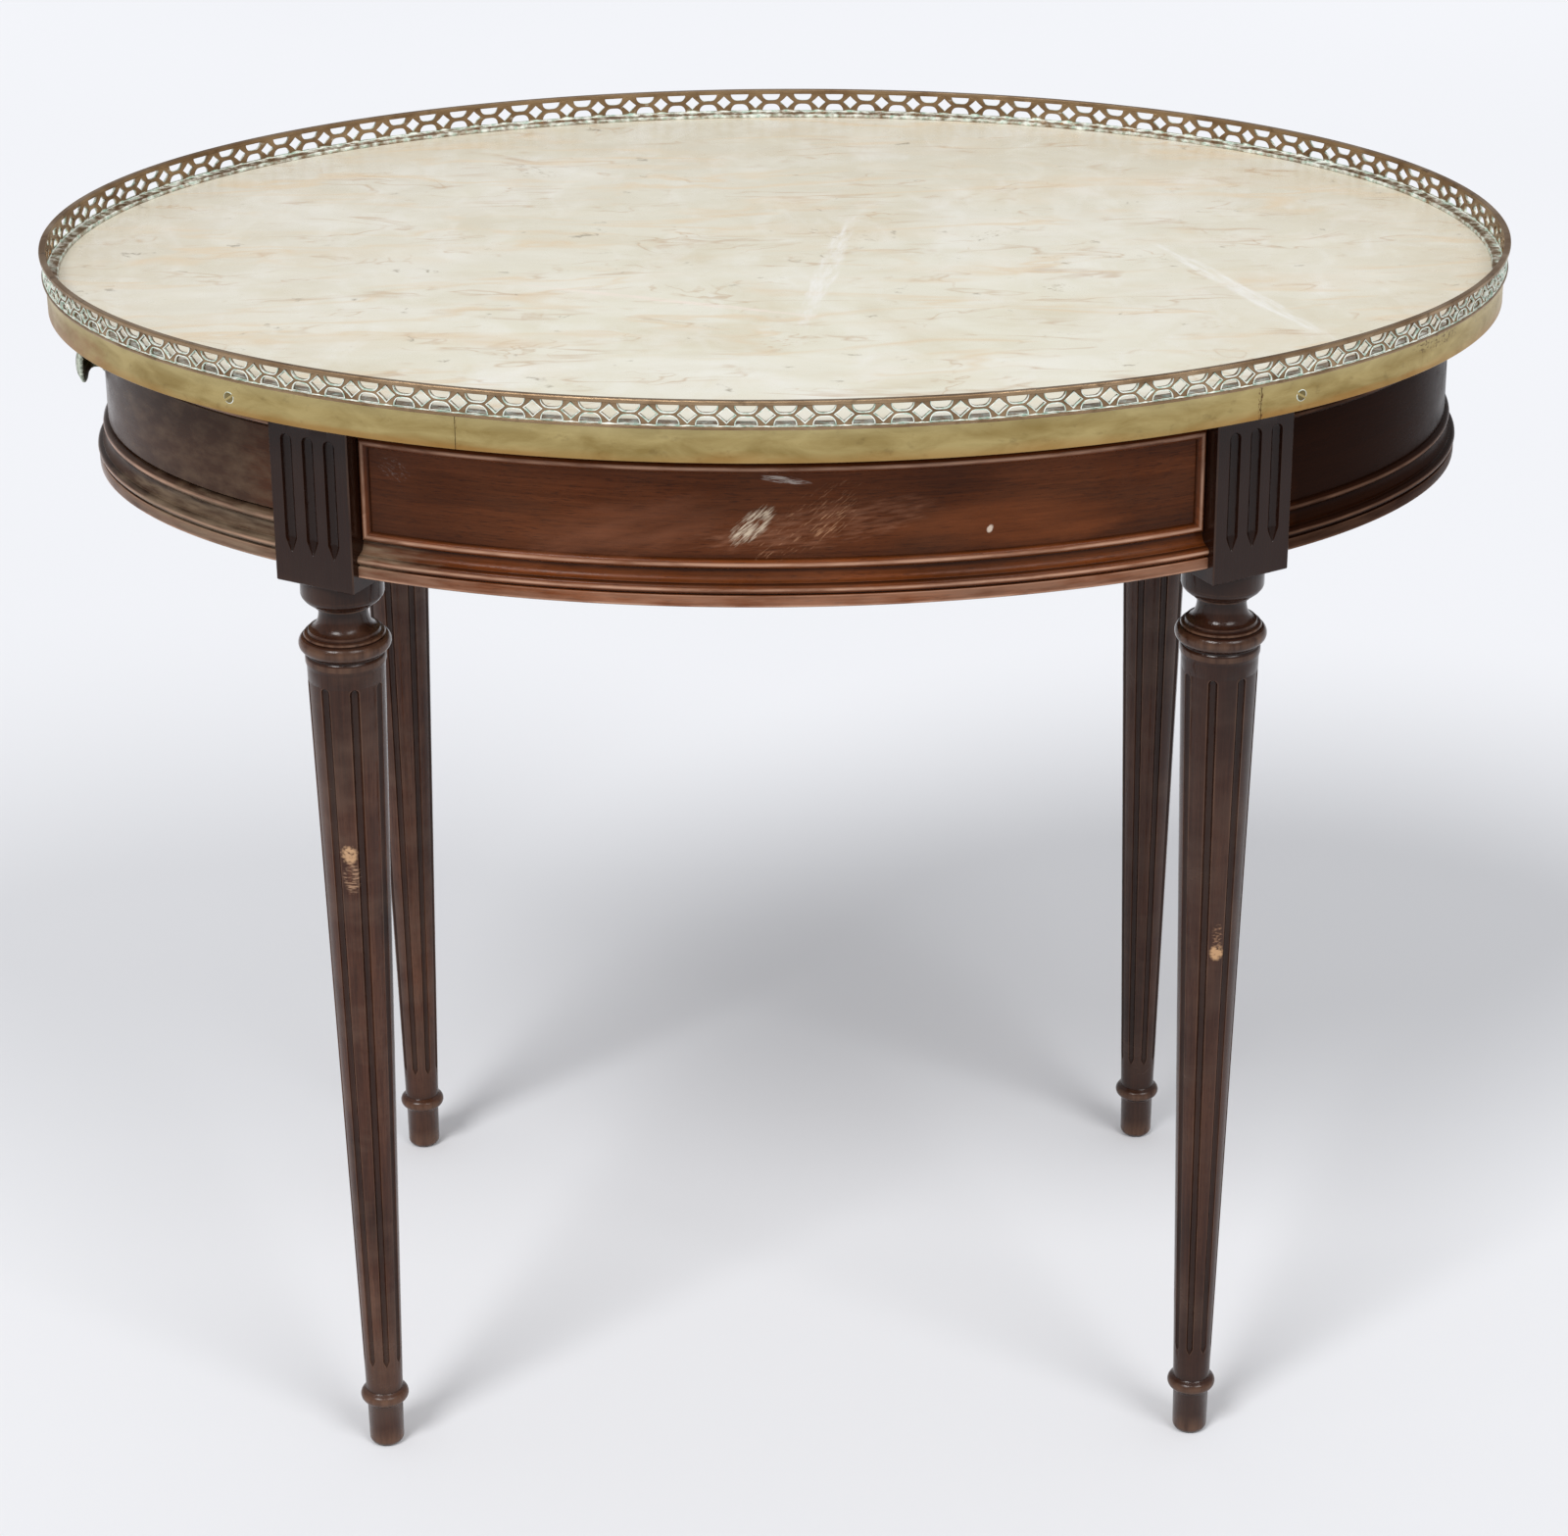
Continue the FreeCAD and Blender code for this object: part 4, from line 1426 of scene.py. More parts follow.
@dataclass
class Frieze:
    """Curved mahogany aprons with their mouldings, and the beads that frame each panel."""

    finish: Finish
    shaded_finish: Finish
    corners: Corners
    panel_half_width: float = 274.0
    thickness: float = 20.0
    overlap: float = -0.3
    hollow_top: float = 21.6
    bead_gap: float = 0.3
    bead: float = 6.4
    bead_proud: float = 3.4
    top_bead: float = 4.0
    top_bead_proud: float = 2.8
    top_bead_low: float = 703.0
    ring_sunk: float = 0.4
    post_sunk: float = 0.3
    post_spread: float = 400.0
    post_steps: int = 4
    steps: int = 72

    def __post_init__(self) -> None:
        """Take the panel's oval and the levels from the frame."""
        low, high = frame_millimetres("apron_front")
        face_low, _ = frame_millimetres("drawer_front")
        self.panel = Oval(-face_low.x, self.panel_half_width)
        self.base = low.z
        self.top = high.z
        self.bead_low = self.base + self.hollow_top + self.bead_gap
        self.wood = self.finish.material()
        self.shaded_wood = self.shaded_finish.material()

    def lower_mouldings(self) -> Profile:
        """Fascia, reed and hollow under the panel, from the back of the lowest edge up."""
        base = self.base
        fascia = [(6.0, base, 0.7), (6.9, base + 0.7, 1.0), (7.0, base + 2.0, 0.83), (7.0, base + 6.6, 0.83)]
        quirk = [(6.6, base + 7.3, 0.9), (5.3, base + 7.7, 0.1)]
        reed = half_round(base + 8.3, base + 14.0, 5.3, 2.3) + [(4.5, base + 14.2, 0.1)]
        hollow = cove(base + 14.6, base + self.hollow_top, 4.3, 0.2)
        return [(-self.thickness, base, 0.5)] + fascia + quirk + reed + hollow

    def run(self, side: Side, section: Profile, gap: float) -> Draft:
        """Sweep a section between the blocks of one side."""
        return swept(self.panel, section, partial(self.corners.span, side, gap), self.steps)

    def bead_section(self, width: float, sunk: float) -> Profile:
        """A half-round bead on its back, which is sunk into the panel."""
        return [(-sunk, 0.0, 0.2)] + half_round(0.0, width, 0.0, self.bead_proud) + [(-sunk, width, 0.2)]

    def bead_ring(self, side: Side) -> Draft:
        """A half-round bead mitred round a panel.

        Args:
            side: the stretch that the panel is on.

        Returns:
            The closed draft.
        """
        draft = Draft()
        rows = []
        speed = self.panel.speed(side.middle)
        for out, across, crest in self.bead_section(self.bead, self.ring_sunk):
            own = self.panel.grown(out)
            first, last = self.corners.span(side, across, own)
            bottom, top = self.bead_low + across, self.top_bead_low + self.top_bead - across
            angles = [first + (last - first) * step / self.steps for step in range(self.steps + 1)]
            heights = [bottom + (top - bottom) * step / self.post_steps for step in range(1, self.post_steps)]
            path = [(angle, bottom, (angle - first) * speed, bottom) for angle in angles]
            path += [(last, height, height, last * self.post_spread) for height in heights]
            path += [(angle, top, (angle - first) * speed, top) for angle in reversed(angles)]
            path += [(first, height, height, first * self.post_spread) for height in reversed(heights)]
            ring = ((own.point(angle, z), crest, (along, up, out)) for angle, z, along, up in path)
            rows.append(draft.row(ring))
        draft.skin(rows, looped=True)
        return draft

    def bead_post(self, end: int, low: float, high: float, gap: float, width: float) -> Draft:
        """An upright half-round bead beside a block of the drawer's end.

        Args:
            end: 0 at the near end of the stretch, 1 at its far end.
            low: its lower end.
            high: its upper end.
            gap: distance from the block.
            width: its width.

        Returns:
            The closed draft.
        """
        draft = Draft()
        edges = []
        for out, across, crest in self.bead_section(width, self.post_sunk):
            own = self.panel.grown(out)
            edges.append((own, self.corners.span(Side.LEFT, gap + across, own)[end], out, across, crest))
        rows = [
            draft.row(
                (own.point(angle, z), crest, (z, across, out)) for own, angle, out, across, crest in edges
            )
            for z in (low, (low + high) / 2, high)
        ]
        draft.skin(rows, capped=True)
        return draft

    def build(self) -> None:
        """Make the aprons with their bead frames, and the rails over and under the drawer."""
        back, wear = -self.thickness, ("table", "frieze_wood")
        lower = self.lower_mouldings()
        whole = lower + [(0.0, self.top, 0.5), (back, self.top, 0.5)]
        for side in (Side.FRONT, Side.BACK, Side.RIGHT):
            name = side.name.lower()
            # The right apron takes the shaded copy of the finish, painted shade for that end.
            wood = self.shaded_wood if side is Side.RIGHT else self.wood
            put(f"apron_{name}_panel", self.run(side, whole, self.overlap), wood, *wear, [f"apron_{name}"])
            ends = ("front", "back") if side.at_end else ("left", "right")
            beads = [f"side_bead_{name}_{end}" for end in ends]
            put(f"apron_{name}_bead_frame", self.bead_ring(side), wood, *wear, beads)
        under = frame_millimetres("drawer_rail_lower")[1].z
        over = frame_millimetres("drawer_rail_upper")[0].z
        lower += half_round(self.bead_low, under, 0.0, self.bead_proud) + [(back, under, 0.5)]
        upper = [(back, over, 0.5)] + half_round(over, over + self.top_bead, 0.0, self.top_bead_proud)
        upper += [(0.0, self.top, 0.5), (back, self.top, 0.5)]
        for node, section in (("drawer_rail_lower", lower), ("drawer_rail_upper", upper)):
            put(f"{node}_moulded", self.run(Side.LEFT, section, self.overlap), self.wood, *wear, [node])


# Legs


@dataclass(frozen=True)
class Flute:
    """A stopped groove: its ends, its half widths there and how its ends are shaped."""

    low: float
    high: float
    low_half: float
    high_half: float
    point: float
    depth_share: float
    edge_crest: float
    floor_fall: float
    sliver: float = 0.06

    def half_at(self, level: float) -> float:
        """Half width of the groove at a level.

        Args:
            level: the height.

        Returns:
            The half width, next to nothing beyond the groove's ends.
        """
        if level <= self.low or level >= self.high:
            return self.sliver
        share = (level - self.low) / (self.high - self.low)
        half = self.low_half + (self.high_half - self.low_half) * share
        if level < self.low + self.point:
            half *= ((level - self.low) / self.point) ** 0.8
        if level > self.high - self.high_half:
            fall = 1 - (self.high - level) / self.high_half
            half *= math.sqrt(max(0.0, 1 - fall * fall))
        return max(self.sliver, half)

    def levels(self) -> list[float]:
        """Levels at which the groove needs a row of points, closer at its ends."""
        start, stop = self.low + self.point, self.high - self.high_half
        low = [self.low + self.point * share for share in (0.0, 0.04, 0.12, 0.25, 0.42, 0.62, 0.82, 1.0)]
        high = [self.high - self.high_half * share for share in (1.0, 0.75, 0.5, 0.3, 0.15, 0.06, 0.015, 0.0)]
        return low + [start + (stop - start) * step / 10 for step in range(1, 10)] + high

    def cut(self, across: float, half: float, plain: float) -> tuple[float, float]:
        """How deep and how exposed the surface is at a place across the groove.

        Args:
            across: the place, from -1 to 1, or more beside the groove.
            half: half width of the groove at this level.
            plain: how exposed the surface is where there is no groove.

        Returns:
            The depth and the crest.
        """
        if across > 1 or half <= self.sliver:
            return 0.0, plain
        round_in = math.sqrt(max(0.0, 1 - across * across))
        crest = self.edge_crest if round_in < 0.2 else 0.30 - self.floor_fall * round_in
        return half * self.depth_share * round_in, crest


@dataclass
class Legs:
    """Four turned and fluted mahogany legs under square corner blocks."""

    finish: Finish
    corners: Corners
    flutes: int = 8
    flute_columns: int = 10
    land_columns: int = 5
    flute: Flute = Flute(62.0, 544.0, 2.1, 2.8, 4.5, 0.85, 0.95, 0.28)
    block_flute: Flute = Flute(630.5, 705.0, 4.0, 4.0, 9.0, 0.95, 0.85, 0.20)
    block_pitch: float = 15.0
    block_columns: int = 8
    block_height: float = 111.0
    soft: float = 0.7
    shaft_low: tuple[float, float] = (11.95, 48.0)
    shaft_high: tuple[float, float] = (23.6, 552.0)
    crease: float = 38.0

    def __post_init__(self) -> None:
        """Take the block's levels from the frame."""
        self.top = frame_millimetres("leg_front_left")[1].z
        self.block_base = self.top - self.block_height

    def shaft_radius(self, level: float) -> float:
        """Radius of the tapered shaft before its flutes are cut."""
        (low_radius, low), (high_radius, high) = self.shaft_low, self.shaft_high
        return low_radius + (high_radius - low_radius) * (level - low) / (high - low)

    @staticmethod
    def bead(centre: float, level: float, tube: float, low: float, high: float, steps: int) -> Profile:
        """Part of a turned bead, from its low to its high angle.

        Args:
            centre: radius of the bead's own middle.
            level: height of that middle.
            tube: radius of the round.
            low: first angle in degrees, -90 being straight down.
            high: last angle in degrees.
            steps: parts of the round.

        Returns:
            The points.
        """
        turns = [math.radians(low + (high - low) * step / steps) for step in range(steps + 1)]
        return [
            (centre + tube * math.cos(turn), level + tube * math.sin(turn), 0.45 + 0.5 * math.cos(turn))
            for turn in turns
        ]

    def profile(self) -> Profile:
        """Radius, level and crest of the turning, from the floor up into the block.

        Returns:
            The points.
        """
        foot = [(0.0, 0.0, 0.5), (6.6, 0.0, 0.6)]
        foot += self.bead(6.6, 4.5, 4.5, -75, 0, 5) + [(11.4, 30.2, 0.5)]
        collar = self.bead(10.9, 36.5, 4.6, -68, 68, 9) + [(11.9, 41.6, 0.1), (11.95, 42.2, 0.3)]
        shaft = [(*self.shaft_low, 0.5), (self.shaft_radius(56.0), 56.0, 0.5)]
        shaft += [(self.shaft_radius(level), level, 0.5) for level in self.flute.levels()]
        shaft += [(*self.shaft_high, 0.55), (23.75, 553.2, 0.3)]
        disc = [(24.1, 554.6, 0.5), (24.4, 555.6, 0.9), (24.4, 558.6, 0.9), (24.0, 559.6, 0.6)]
        groove = [(23.4, 560.3, 0.1), (23.4, 561.2, 0.05), (24.2, 561.7, 0.3)]
        torus = self.bead(22.5, 567.2, 5.35, -66, 52, 11)
        fillet = [(24.3, 571.6, 0.05), (24.6, 572.6, 1.0), (24.1, 573.6, 0.9), (22.0, 574.3, 0.1)]
        neck = [(21.6, 575.2, 0.9)]
        for step in range(11):
            turn = QUARTER_TURN * (1 - step / 10)
            neck.append((21.4 - 6.4 * math.cos(turn), 587.0 - 10.9 * math.sin(turn), 0.75 - 0.5 * step / 10))
        neck += [(15.1, 589.5, 0.1), (15.6, 590.6, 0.05)]
        under = [(17.6, 591.0, 0.9), (17.9, 592.0, 0.9), (18.3, 592.6, 0.2), (20.6, 593.6, 0.5)]
        low, high = self.block_base - 0.6, self.block_base + 0.6
        drum = [(23.0, 595.6, 0.55), (24.6, 597.8, 0.7), (25.1, 599.4, 0.8)]
        drum += [(25.1, low, 0.4), (25.1, high, 0.1), (0.0, high, 0.5)]
        return foot + collar + shaft + disc + groove + torus + fillet + neck + under + drum

    def columns(self, half_angle: float) -> list[tuple[float, float]]:
        """Every column of points round the shaft.

        Args:
            half_angle: half of the angle that a flute takes up.

        Returns:
            The angle, and the place across the flute from -1 to 1, or 2 on the land between.
        """
        sector = FULL_TURN / self.flutes
        land = sector - 2 * half_angle
        shares = cosine_steps(self.flute_columns)
        made = []
        for number in range(self.flutes):
            middle = sector * number - QUARTER_TURN
            made += [(middle + half_angle * across, across) for across in shares]
            steps = range(1, self.land_columns)
            made += [(middle + half_angle + land * step / self.land_columns, 2.0) for step in steps]
        return made

    def turning(self) -> Draft:
        """The turned and fluted part of one leg, about its own axis.

        Returns:
            The closed draft.
        """
        draft = Draft()
        flute = self.flute
        rows = []
        for radius, level, crest in self.profile():
            if radius == 0.0:
                rows.append(draft.row([((0.0, 0.0, level), crest)]))
                continue
            on_shaft = self.shaft_low[1] <= level <= self.shaft_high[1]
            guide = min(max(level, flute.low + flute.point), flute.high - flute.high_half)
            wide = flute.half_at(guide)
            half = flute.half_at(level) if on_shaft else 0.0
            half_angle = math.asin(wide / self.shaft_radius(guide))
            if on_shaft:
                half_angle = math.asin(min(0.9, (half if half > flute.sliver else wide) / radius))
            row = []
            for angle, across in self.columns(half_angle):
                depth, exposed = flute.cut(across, half, crest)
                place = ((radius - depth) * math.cos(angle), (radius - depth) * math.sin(angle), level)
                row.append((place, exposed))
            rows.append(draft.row(row))
        draft.skin(rows)
        return draft

    def block(self) -> Draft:
        """The square block, with three stopped flutes on the face that looks outwards.

        Returns:
            The closed draft.
        """
        draft = Draft()
        flute, soft, half = self.block_flute, self.soft, self.corners.block_side / 2
        left = [(-half, 2 * soft - half, 0.5), (-half, soft - half, 0.85)]
        left += [(soft - half, -half, 0.85), (2 * soft - half, -half, 0.5)]
        right = [(-x, y, crest) for x, y, crest in reversed(left)]
        shares = cosine_steps(self.block_columns)
        rows = []
        for level in [self.block_base + soft, self.block_base + 8.0] + flute.levels() + [self.top]:
            own = flute.half_at(level)
            around = [(half, half, 0.6), (-half, half, 0.6)] + left
            for number in (-1, 0, 1):
                middle = number * self.block_pitch
                around.append((middle - own - soft, -half, 0.5))
                for across in shares:
                    depth, crest = flute.cut(across, own, 0.5)
                    around.append((middle + own * across, -half + depth, crest))
                around.append((middle + own + soft, -half, 0.5))
            rows.append(draft.row(((x, y, level), crest) for x, y, crest in around + right))
        inner = half - soft
        eased = [tuple(max(-inner, min(inner, draft.points[n][axis])) for axis in (0, 1)) for n in rows[0]]
        under = draft.row(((x, y, self.block_base), 0.6) for x, y in eased)
        draft.skin([under] + rows)
        for loop in (under, rows[-1]):
            draft.fill([loop], axes=(0, 1))
        return draft

    def build(self) -> None:
        """Turn the one pattern to its four corners."""
        wood = self.finish.material()
        for name, corner, turn in (
            ("leg_front_left", (-1, -1), -self.corners.turn),
            ("leg_front_right", (1, -1), self.corners.turn),
            ("leg_back_left", (-1, 1), 180 + self.corners.turn),
            ("leg_back_right", (1, 1), 180 - self.corners.turn),
        ):
            draft = self.turning()
            draft.add(self.block())
            turned = Matrix.Rotation(math.radians(turn), 4, "Z")
            place = Matrix.Translation(self.corners.axis(corner)) @ turned
            draft.points = [place @ point for point in draft.points]
            put(f"{name}_turned", draft, wood, "table", "leg_wood", [name], self.crease, merge=True)


# Drawer


@dataclass
class Drawer:
    """The drawer in the left end: its curved front, its beads and its turned knob."""

    frieze: Frieze
    knob_finish: Finish
    gap: float = 1.5
    bead: float = 5.4
    knob_sunk: float = 0.6
    knob_steps: int = 48
    pearls: int = 26
    pearl_radius: float = 1.35
    pearl_ring: float = 11.45
    pearl_back: float = 4.5
    clearance: float = 0.05

    def __post_init__(self) -> None:
        """Take the knob's place and reach from the frame."""
        low, high = frame_millimetres("drawer_knob")
        self.origin = Vector((high.x, 0.0, (low.z + high.z) / 2))
        self.reach = high.x - low.x - self.clearance

    def knob_profile(self) -> Profile:
        """Radius, distance from the front and crest of the knob, from its base to its dome.

        Returns:
            The points.
        """
        base = [(0.0, -self.knob_sunk, 0.3), (6.4, -self.knob_sunk, 0.3), (7.0, 0.4, 0.5), (6.9, 1.2, 0.6)]
        base += [(5.6, 2.0, 0.4), (5.2, 2.6, 0.3)]
        neck = [(4.0, 3.4, 0.2), (3.1, 4.6, 0.1), (2.9, 6.5, 0.05), (3.0, 8.6, 0.05), (3.9, 10.4, 0.1)]
        head = [(6.2, 12.0, 0.2), (9.6, 12.9, 0.35), (11.2, 13.3, 0.5), (11.6, 14.0, 0.7)]
        face = [(11.6, 3.6, 0.8), (10.9, 2.7, 0.9), (9.9, 2.5, 0.6), (9.3, 2.0, 0.8), (7.9, 1.1, 0.7)]
        face += [(5.6, 0.4, 0.6), (2.8, 0.08, 0.55), (0.0, 0.0, 0.55)]
        return base + neck + head + [(radius, self.reach - back, crest) for radius, back, crest in face]

    def knob(self) -> Draft:
        """The turned knob, its axis along -X.

        Returns:
            The closed draft.
        """
        draft = Draft()
        turns = [FULL_TURN * step / self.knob_steps for step in range(self.knob_steps)]
        rows = []
        for radius, out, crest in self.knob_profile():
            ring = turns if radius else turns[:1]
            places = (Vector((-out, radius * math.cos(turn), radius * math.sin(turn))) for turn in ring)
            rows.append(draft.row((self.origin + place, crest) for place in places))
        draft.skin(rows)
        return draft

    def pearl_mesh(self, finish: Material) -> Mesh:
        """Set small pearls round the rim of the knob with a geometry tree.

        Args:
            finish: the knob's material.

        Returns:
            The pearls in one mesh.
        """
        place = self.origin + Vector((self.pearl_back - self.reach, 0, 0))
        inputs = {
            "Pearls": ("Int", self.pearls),
            "Rim": ("Float", self.pearl_ring * MILLIMETRE),
            "Pearl": ("Float", self.pearl_radius * MILLIMETRE),
            "Place": ("Vector", place * MILLIMETRE),
            "Turn": ("Rotation", (0.0, QUARTER_TURN, 0.0)),
            "Finish": ("Material", finish),
        }
        shape = ShapeTree("knob_pearl_shape", inputs)
        tree, given = shape.tree, shape.given
        rim = add(tree, "GeometryNodeMeshCircle", {"Vertices": given["Pearls"], "Radius": given["Rim"]})
        pearl = add(tree, "GeometryNodeMeshIcoSphere", {"Radius": given["Pearl"], "Subdivisions": 2})
        crest = {"Geometry": pearl, "Name": "crest", "Value": 0.85}
        worn = add(tree, "GeometryNodeStoreNamedAttribute", crest, data_type="FLOAT", domain="POINT")
        strung = add(tree, "GeometryNodeInstanceOnPoints", {"Points": rim, "Instance": worn})
        set_in = {"Geometry": strung, "Translation": given["Place"], "Rotation": given["Turn"]}
        shape.close(add(tree, "GeometryNodeTransform", set_in))
        return shape.run("drawer_knob_pearls", bpy.data.meshes.new("drawer_knob_start"))

    def build(self) -> None:
        """Make the front, its beads, the knob and the pearls round its rim."""
        low, high = (corner.z for corner in frame_millimetres("drawer_front"))
        frieze, body, back = self.frieze, "drawer", -self.frieze.thickness
        section = [(back, low, 0.5), (-0.5, low, 0.8), (0.0, low + 0.5, 0.8), (0.0, low + 1.5, 0.5)]
        section += [(0.0, high - 1.5, 0.5), (0.0, high - 0.5, 0.8), (-0.5, high, 0.8), (back, high, 0.5)]
        front = frieze.run(Side.LEFT, section, self.gap)
        put("drawer_front_panel", front, frieze.wood, body, "frieze_wood", ["drawer_front"])
        for end, name in enumerate(("drawer_bead_back", "drawer_bead_front")):
            post = frieze.bead_post(end, low, high, self.gap, self.bead)
            put(f"{name}_round", post, frieze.wood, body, "frieze_wood", [name])
        brass = self.knob_finish.material()
        put("drawer_knob_turned", self.knob(), brass, body, "knob_brass", ["drawer_knob"])
        put("drawer_knob_pearls", self.pearl_mesh(brass), brass, body, "knob_brass", crease=60.0)


# Pieces whose solids keep their own shape


@dataclass
class Carcase:
    """The plain boards inside the frieze and the drawer, and the marble on its bed."""

    oak: Finish
    marble: Finish
    boards: tuple[str, ...] = (
        "marble_bed",
        "drawer_runner_front",
        "drawer_runner_back",
        "cross_rail",
        "drawer_side_front",
        "drawer_side_back",
        "drawer_bottom",
        "drawer_back",
    )

    def build(self) -> None:
        """Give the boards their plain oak and the slab its marble."""
        oak = self.oak.material()
        marble = self.marble.material()
        for name in (*self.boards, "marble_top"):
            finish = marble if name == "marble_top" else oak
            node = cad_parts[name]
            if not node.material_slots:
                node.data.materials.append(finish)
            for slot in node.material_slots:
                slot.material = finish
            log.info("%s: keeps its solid, finished in %s", name, finish.name)


# Finishes of this table

PANEL_MARKS = (
    Mark((-90, -268, 664), (75, 30, 20), "#83523A", (0, -12, 0), (40, 40, 9), 0.55, 0.25, 0.45),
    Mark((150, -262, 664), (95, 30, 18), "#7E4423", (0, 0, 0), (60, 60, 12), 0.60, 0.30, 0.50),
    Mark((20, -272, 668), (75, 20, 14), "#8E6048", (0, -8, 0), (16, 16, 2.5), 0.45, 0.15, 0.55),
    Mark((12, -272, 670), (38, 20, 14), "#A5785A", (0, -38, 0), (7, 7, 1), 0.36, 0.08, 0.65),
    Mark((29, -273, 672), (17, 16, 8), "#C3946F", (0, -40, 0), (9, 9, 1), 0.40, 0.06, 0.75),
    Mark((-18.5, -274, 668.5), (17, 16, 7.5), "#D2C0A8", (0, -42, 0), (8, 8, 1.1), 0.50, 0.10, 0.90),
    Mark((0, -274, 696.2), (15, 12, 2.4), "#B9AEA6", (0, 7, 0), (9, 9, 0.9), 0.50, 0.06, 0.85),
    Mark((118.5, -263, 660.8), (2, 8, 3), "#CDBBAA", (0, 20, 0), (3, 3, 2), 0.65, 0.06),
    Mark((-330, -190, 634), (150, 130, 17), "#87745F", (0, 0, 0), (22, 22, 2.5), 0.55, 0.20, 0.60),
    Mark((-350, -170, 675), (110, 130, 40), "#665240", (0, 0, 0), (16, 16, 8), 0.42, 0.16, 0.55),
    Mark((-226, -231, 689), (10, 20, 7), "#9C938E", (0, 25, 0), (2.6, 2.6, 0.9), 0.36, 0.12, 0.45),
)
LEG_MARKS = (
    Mark((-265.1, -215.9, 434), (5.4, 8, 7), "#BF9873", (0, 0, 0), (2.4, 2.4, 2), 0.60, 0.10, 0.90),
    Mark((-264.4, -215.9, 419), (5.6, 8, 12), "#A9866A", (0, 0, 0), (4, 4, 0.9), 0.46, 0.08, 0.80),
    Mark((265.9, -213.8, 359), (4.8, 8, 6), "#BF966E", (0, 0, 0), (2.4, 2.4, 1.8), 0.58, 0.10, 0.90),
    Mark((265.9, -213.8, 370), (3.6, 8, 10), "#9A7458", (0, 0, 0), (3, 3, 1.2), 0.44, 0.08, 0.70),
)
BAND_MARKS = (
    Mark((-230, -260, 723), (170, 60, 3.4), "#A47A44", (0, 0, 0), (60, 60, 6), 0.60, 0.20, 0.60),
    Mark((330, -215, 723.5), (100, 80, 3.6), "#A3753C", (0, 0, 0), (40, 40, 6), 0.60, 0.20, 0.60),
    Mark((-420, -90, 727), (40, 90, 12), "#96653C", (0, 0, 0), (20, 20, 9), 0.55, 0.20, 0.60),
    Mark((386, -157, 738), (22, 30, 5), "#57402A", (0, 0, 0), (2.6, 2.6, 1.8), 0.44, 0.08, 0.75),
    Mark((274, -251, 732), (1.7, 10, 13), "#5C3A28", (0, 0, 0), (1.3, 1.3, 1.5), 0.46, 0.06, 0.90),
    Mark((-186, -289, 731), (1.5, 10, 13), "#7C6038", (0, 0, 0), (1.3, 1.3, 1.5), 0.42, 0.06, 0.50),
)
MARBLE_MARKS = (
    Mark((281, -75, 742.5), (105, 8, 20), "#F0EFEA", (0, 0, -65), (18, 3.5, 9), 0.50, 0.22, 0.80),
    Mark((30, -35, 742.5), (120, 8, 20), "#EFEDE8", (0, 0, -99), (16, 3.5, 9), 0.48, 0.22, 0.75),
    Mark((-68, -88, 742.5), (110, 3.6, 20), "#EEDFD2", (0, 0, -20), (24, 3, 9), 0.55, 0.18, 0.75),
    Mark((135, 37, 742.5), (13, 9, 20), "#9F9278", (0, 0, 30), (3.6, 1.6, 4), 0.40, 0.05, 0.80),
    Mark((42, 39, 742.5), (30, 9, 20), "#A0937D", (0, 0, -30), (6, 1.6, 4), 0.36, 0.05, 0.70),
    Mark((1, -169, 742.5), (20, 8, 20), "#C4A27C", (0, 0, 15), (6, 1.8, 4), 0.38, 0.06, 0.70),
    Mark((-162, 185, 742.5), (26, 12, 20), "#A89B85", (0, 0, -40), (5, 1.8, 4), 0.38, 0.05, 0.75),
    Mark((170, -70, 742.5), (10, 9, 20), "#A89C82", (0, 0, 10), (3.4, 1.6, 4), 0.40, 0.05, 0.75),
)
# Painted shade: the slab darker towards its back and towards both ends, as light falls off away from the
# front.
MARBLE_FALLOFF_SHADE = (
    Tone(-140.0, 230.0, "#CFC7B3", 0.70, "Y"),
    Tone(-120.0, -440.0, "#D3CAB8", 0.55, "X"),
    Tone(160.0, 450.0, "#D6CDB9", 0.45, "X"),
)
BAND_BRASS = AgedBrass(
    "rolled_brass_strip",
    metal="#B9A570",
    dull="#98824F",
    cover=0.6,
    start=0.70,
    full=0.74,
    stains=0.25,
    roughness=(0.32, 0.44),
    scratch=(20.0, 20.0, 0.4),
    # The lighter tone over the band's upper part is a painted highlight.
    tones=(Tone(728.5, 722.5, "#A87B42", 0.55, "Z", 5.0), Tone(735.0, 742.0, "#C8BB8C", 0.35, "Z", 4.0)),
    marks=BAND_MARKS,
)
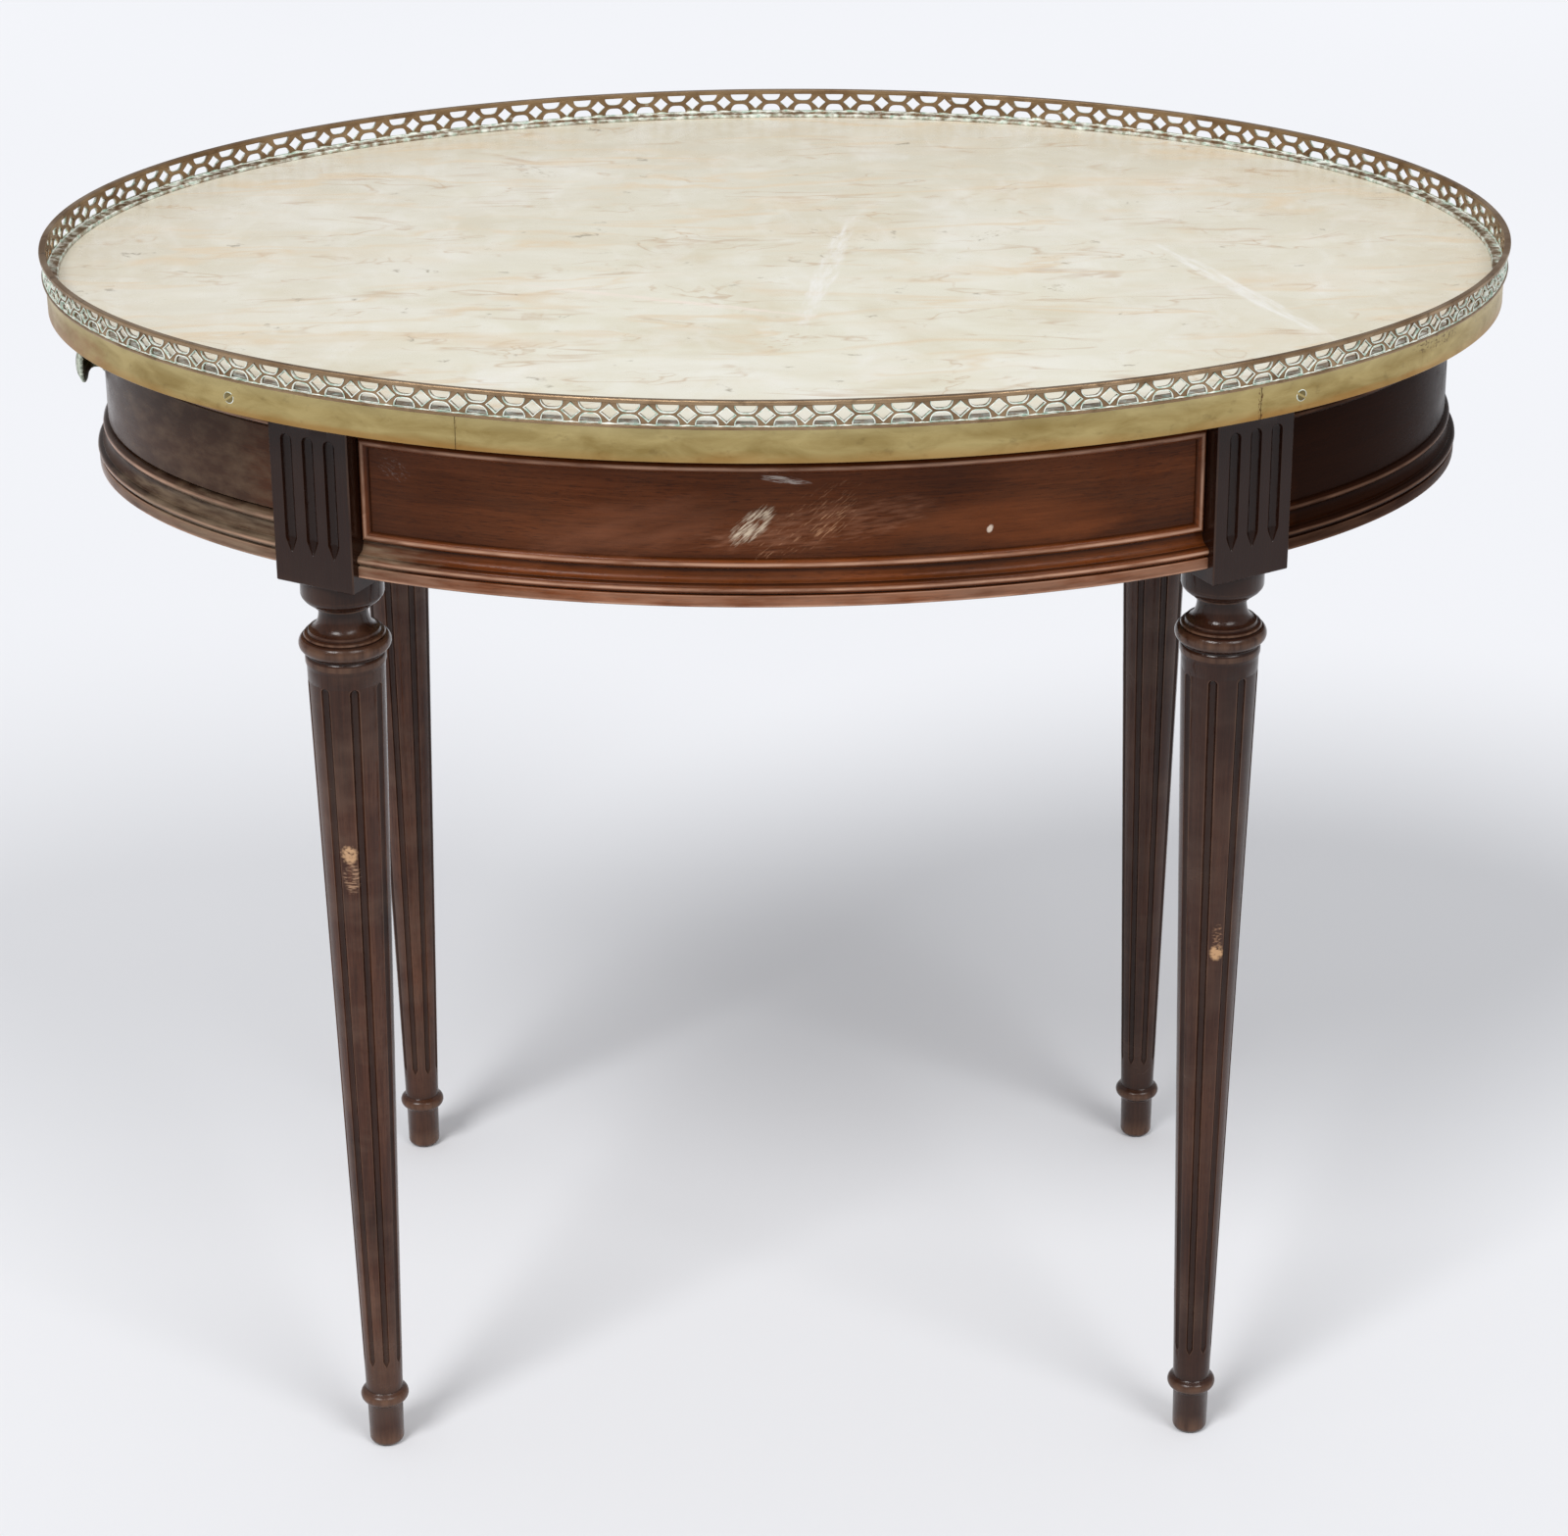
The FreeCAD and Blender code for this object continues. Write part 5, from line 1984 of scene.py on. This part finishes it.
SCREW_BRASS = AgedBrass("turned_brass_screw", metal="#857750", dull="#55482E")
KNOB_BRASS = AgedBrass(
    "turned_knob_brass", metal="#7C7A62", dull="#3A3526", verdigris="#9AA596", chalk="#C8CEBE"
)
PANEL_WOOD = PolishedMahogany(
    "polished_mahogany_veneer",
    tones=(
        # Painted shadow: the panels darken towards their top, under the band's overhang.
        Tone(684.0, 706.0, "#35190D", 0.50, "Z", 5.0),
        Tone(-150.0, -240.0, "#46281A", 0.45),
        Tone(-255.0, -325.0, "#3A2A20", 0.87),
        # Painted shade: the right end, turned away from the key lamp, darkened almost to black.
        Tone(240.0, 300.0, "#180A05", 0.94),
    ),
    marks=PANEL_MARKS,
)
# Shaded copy of the panel finish for the right end: its rubbed edges darker and fainter as painted shade,
# with little film and almost no gloss.
SHADED_WOOD = replace(
    PANEL_WOOD,
    name="polished_mahogany_shaded_end",
    rubbed="#8E6A54",
    rub_strength=0.55,
    gloss=0.02,
    film_strength=0.05,
)
LEG_WOOD = PolishedMahogany(
    "polished_mahogany_turning",
    dark="#2F1A11",
    middle="#47291C",
    light="#5E3B2A",
    film="#6B5446",
    rubbed="#8A6852",
    film_strength=0.45,
    rub_strength=0.40,
    recess_strength=0.55,
    grain=Grain.UPRIGHT,
    roughness=(0.12, 0.30),
    gloss=0.26,
    tones=(
        Tone(440.0, 540.0, "#27170F", 0.45, "Z"),
        Tone(585.0, 615.0, "#1F0D06", 0.84, "Z", 8.0),
        Tone(120.0, 40.0, "#35231C", 0.50, "Z"),
        # Painted shade: the right legs darker, on the side away from the key lamp.
        Tone(120.0, 260.0, "#23120C", 0.50),
    ),
    marks=LEG_MARKS,
)


def main() -> None:
    """Build the camera, the studio and every part of the table in order."""
    logging.basicConfig(level=logging.INFO, format="%(name)s %(message)s")
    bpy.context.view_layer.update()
    TableCamera().build()
    Studio().build()
    corners = Corners()
    Gallery(AgedBrass("aged_cast_brass")).build()
    Band(BAND_BRASS, SCREW_BRASS).build()
    frieze = Frieze(PANEL_WOOD, SHADED_WOOD, corners)
    frieze.build()
    Legs(LEG_WOOD, corners).build()
    Drawer(frieze, KNOB_BRASS).build()
    marble = CreamMarble("polished_cream_marble", tones=MARBLE_FALLOFF_SHADE, marks=MARBLE_MARKS)
    Carcase(PlainOak("plain_planed_oak"), marble).build()


if __name__ == "__main__":
    main()
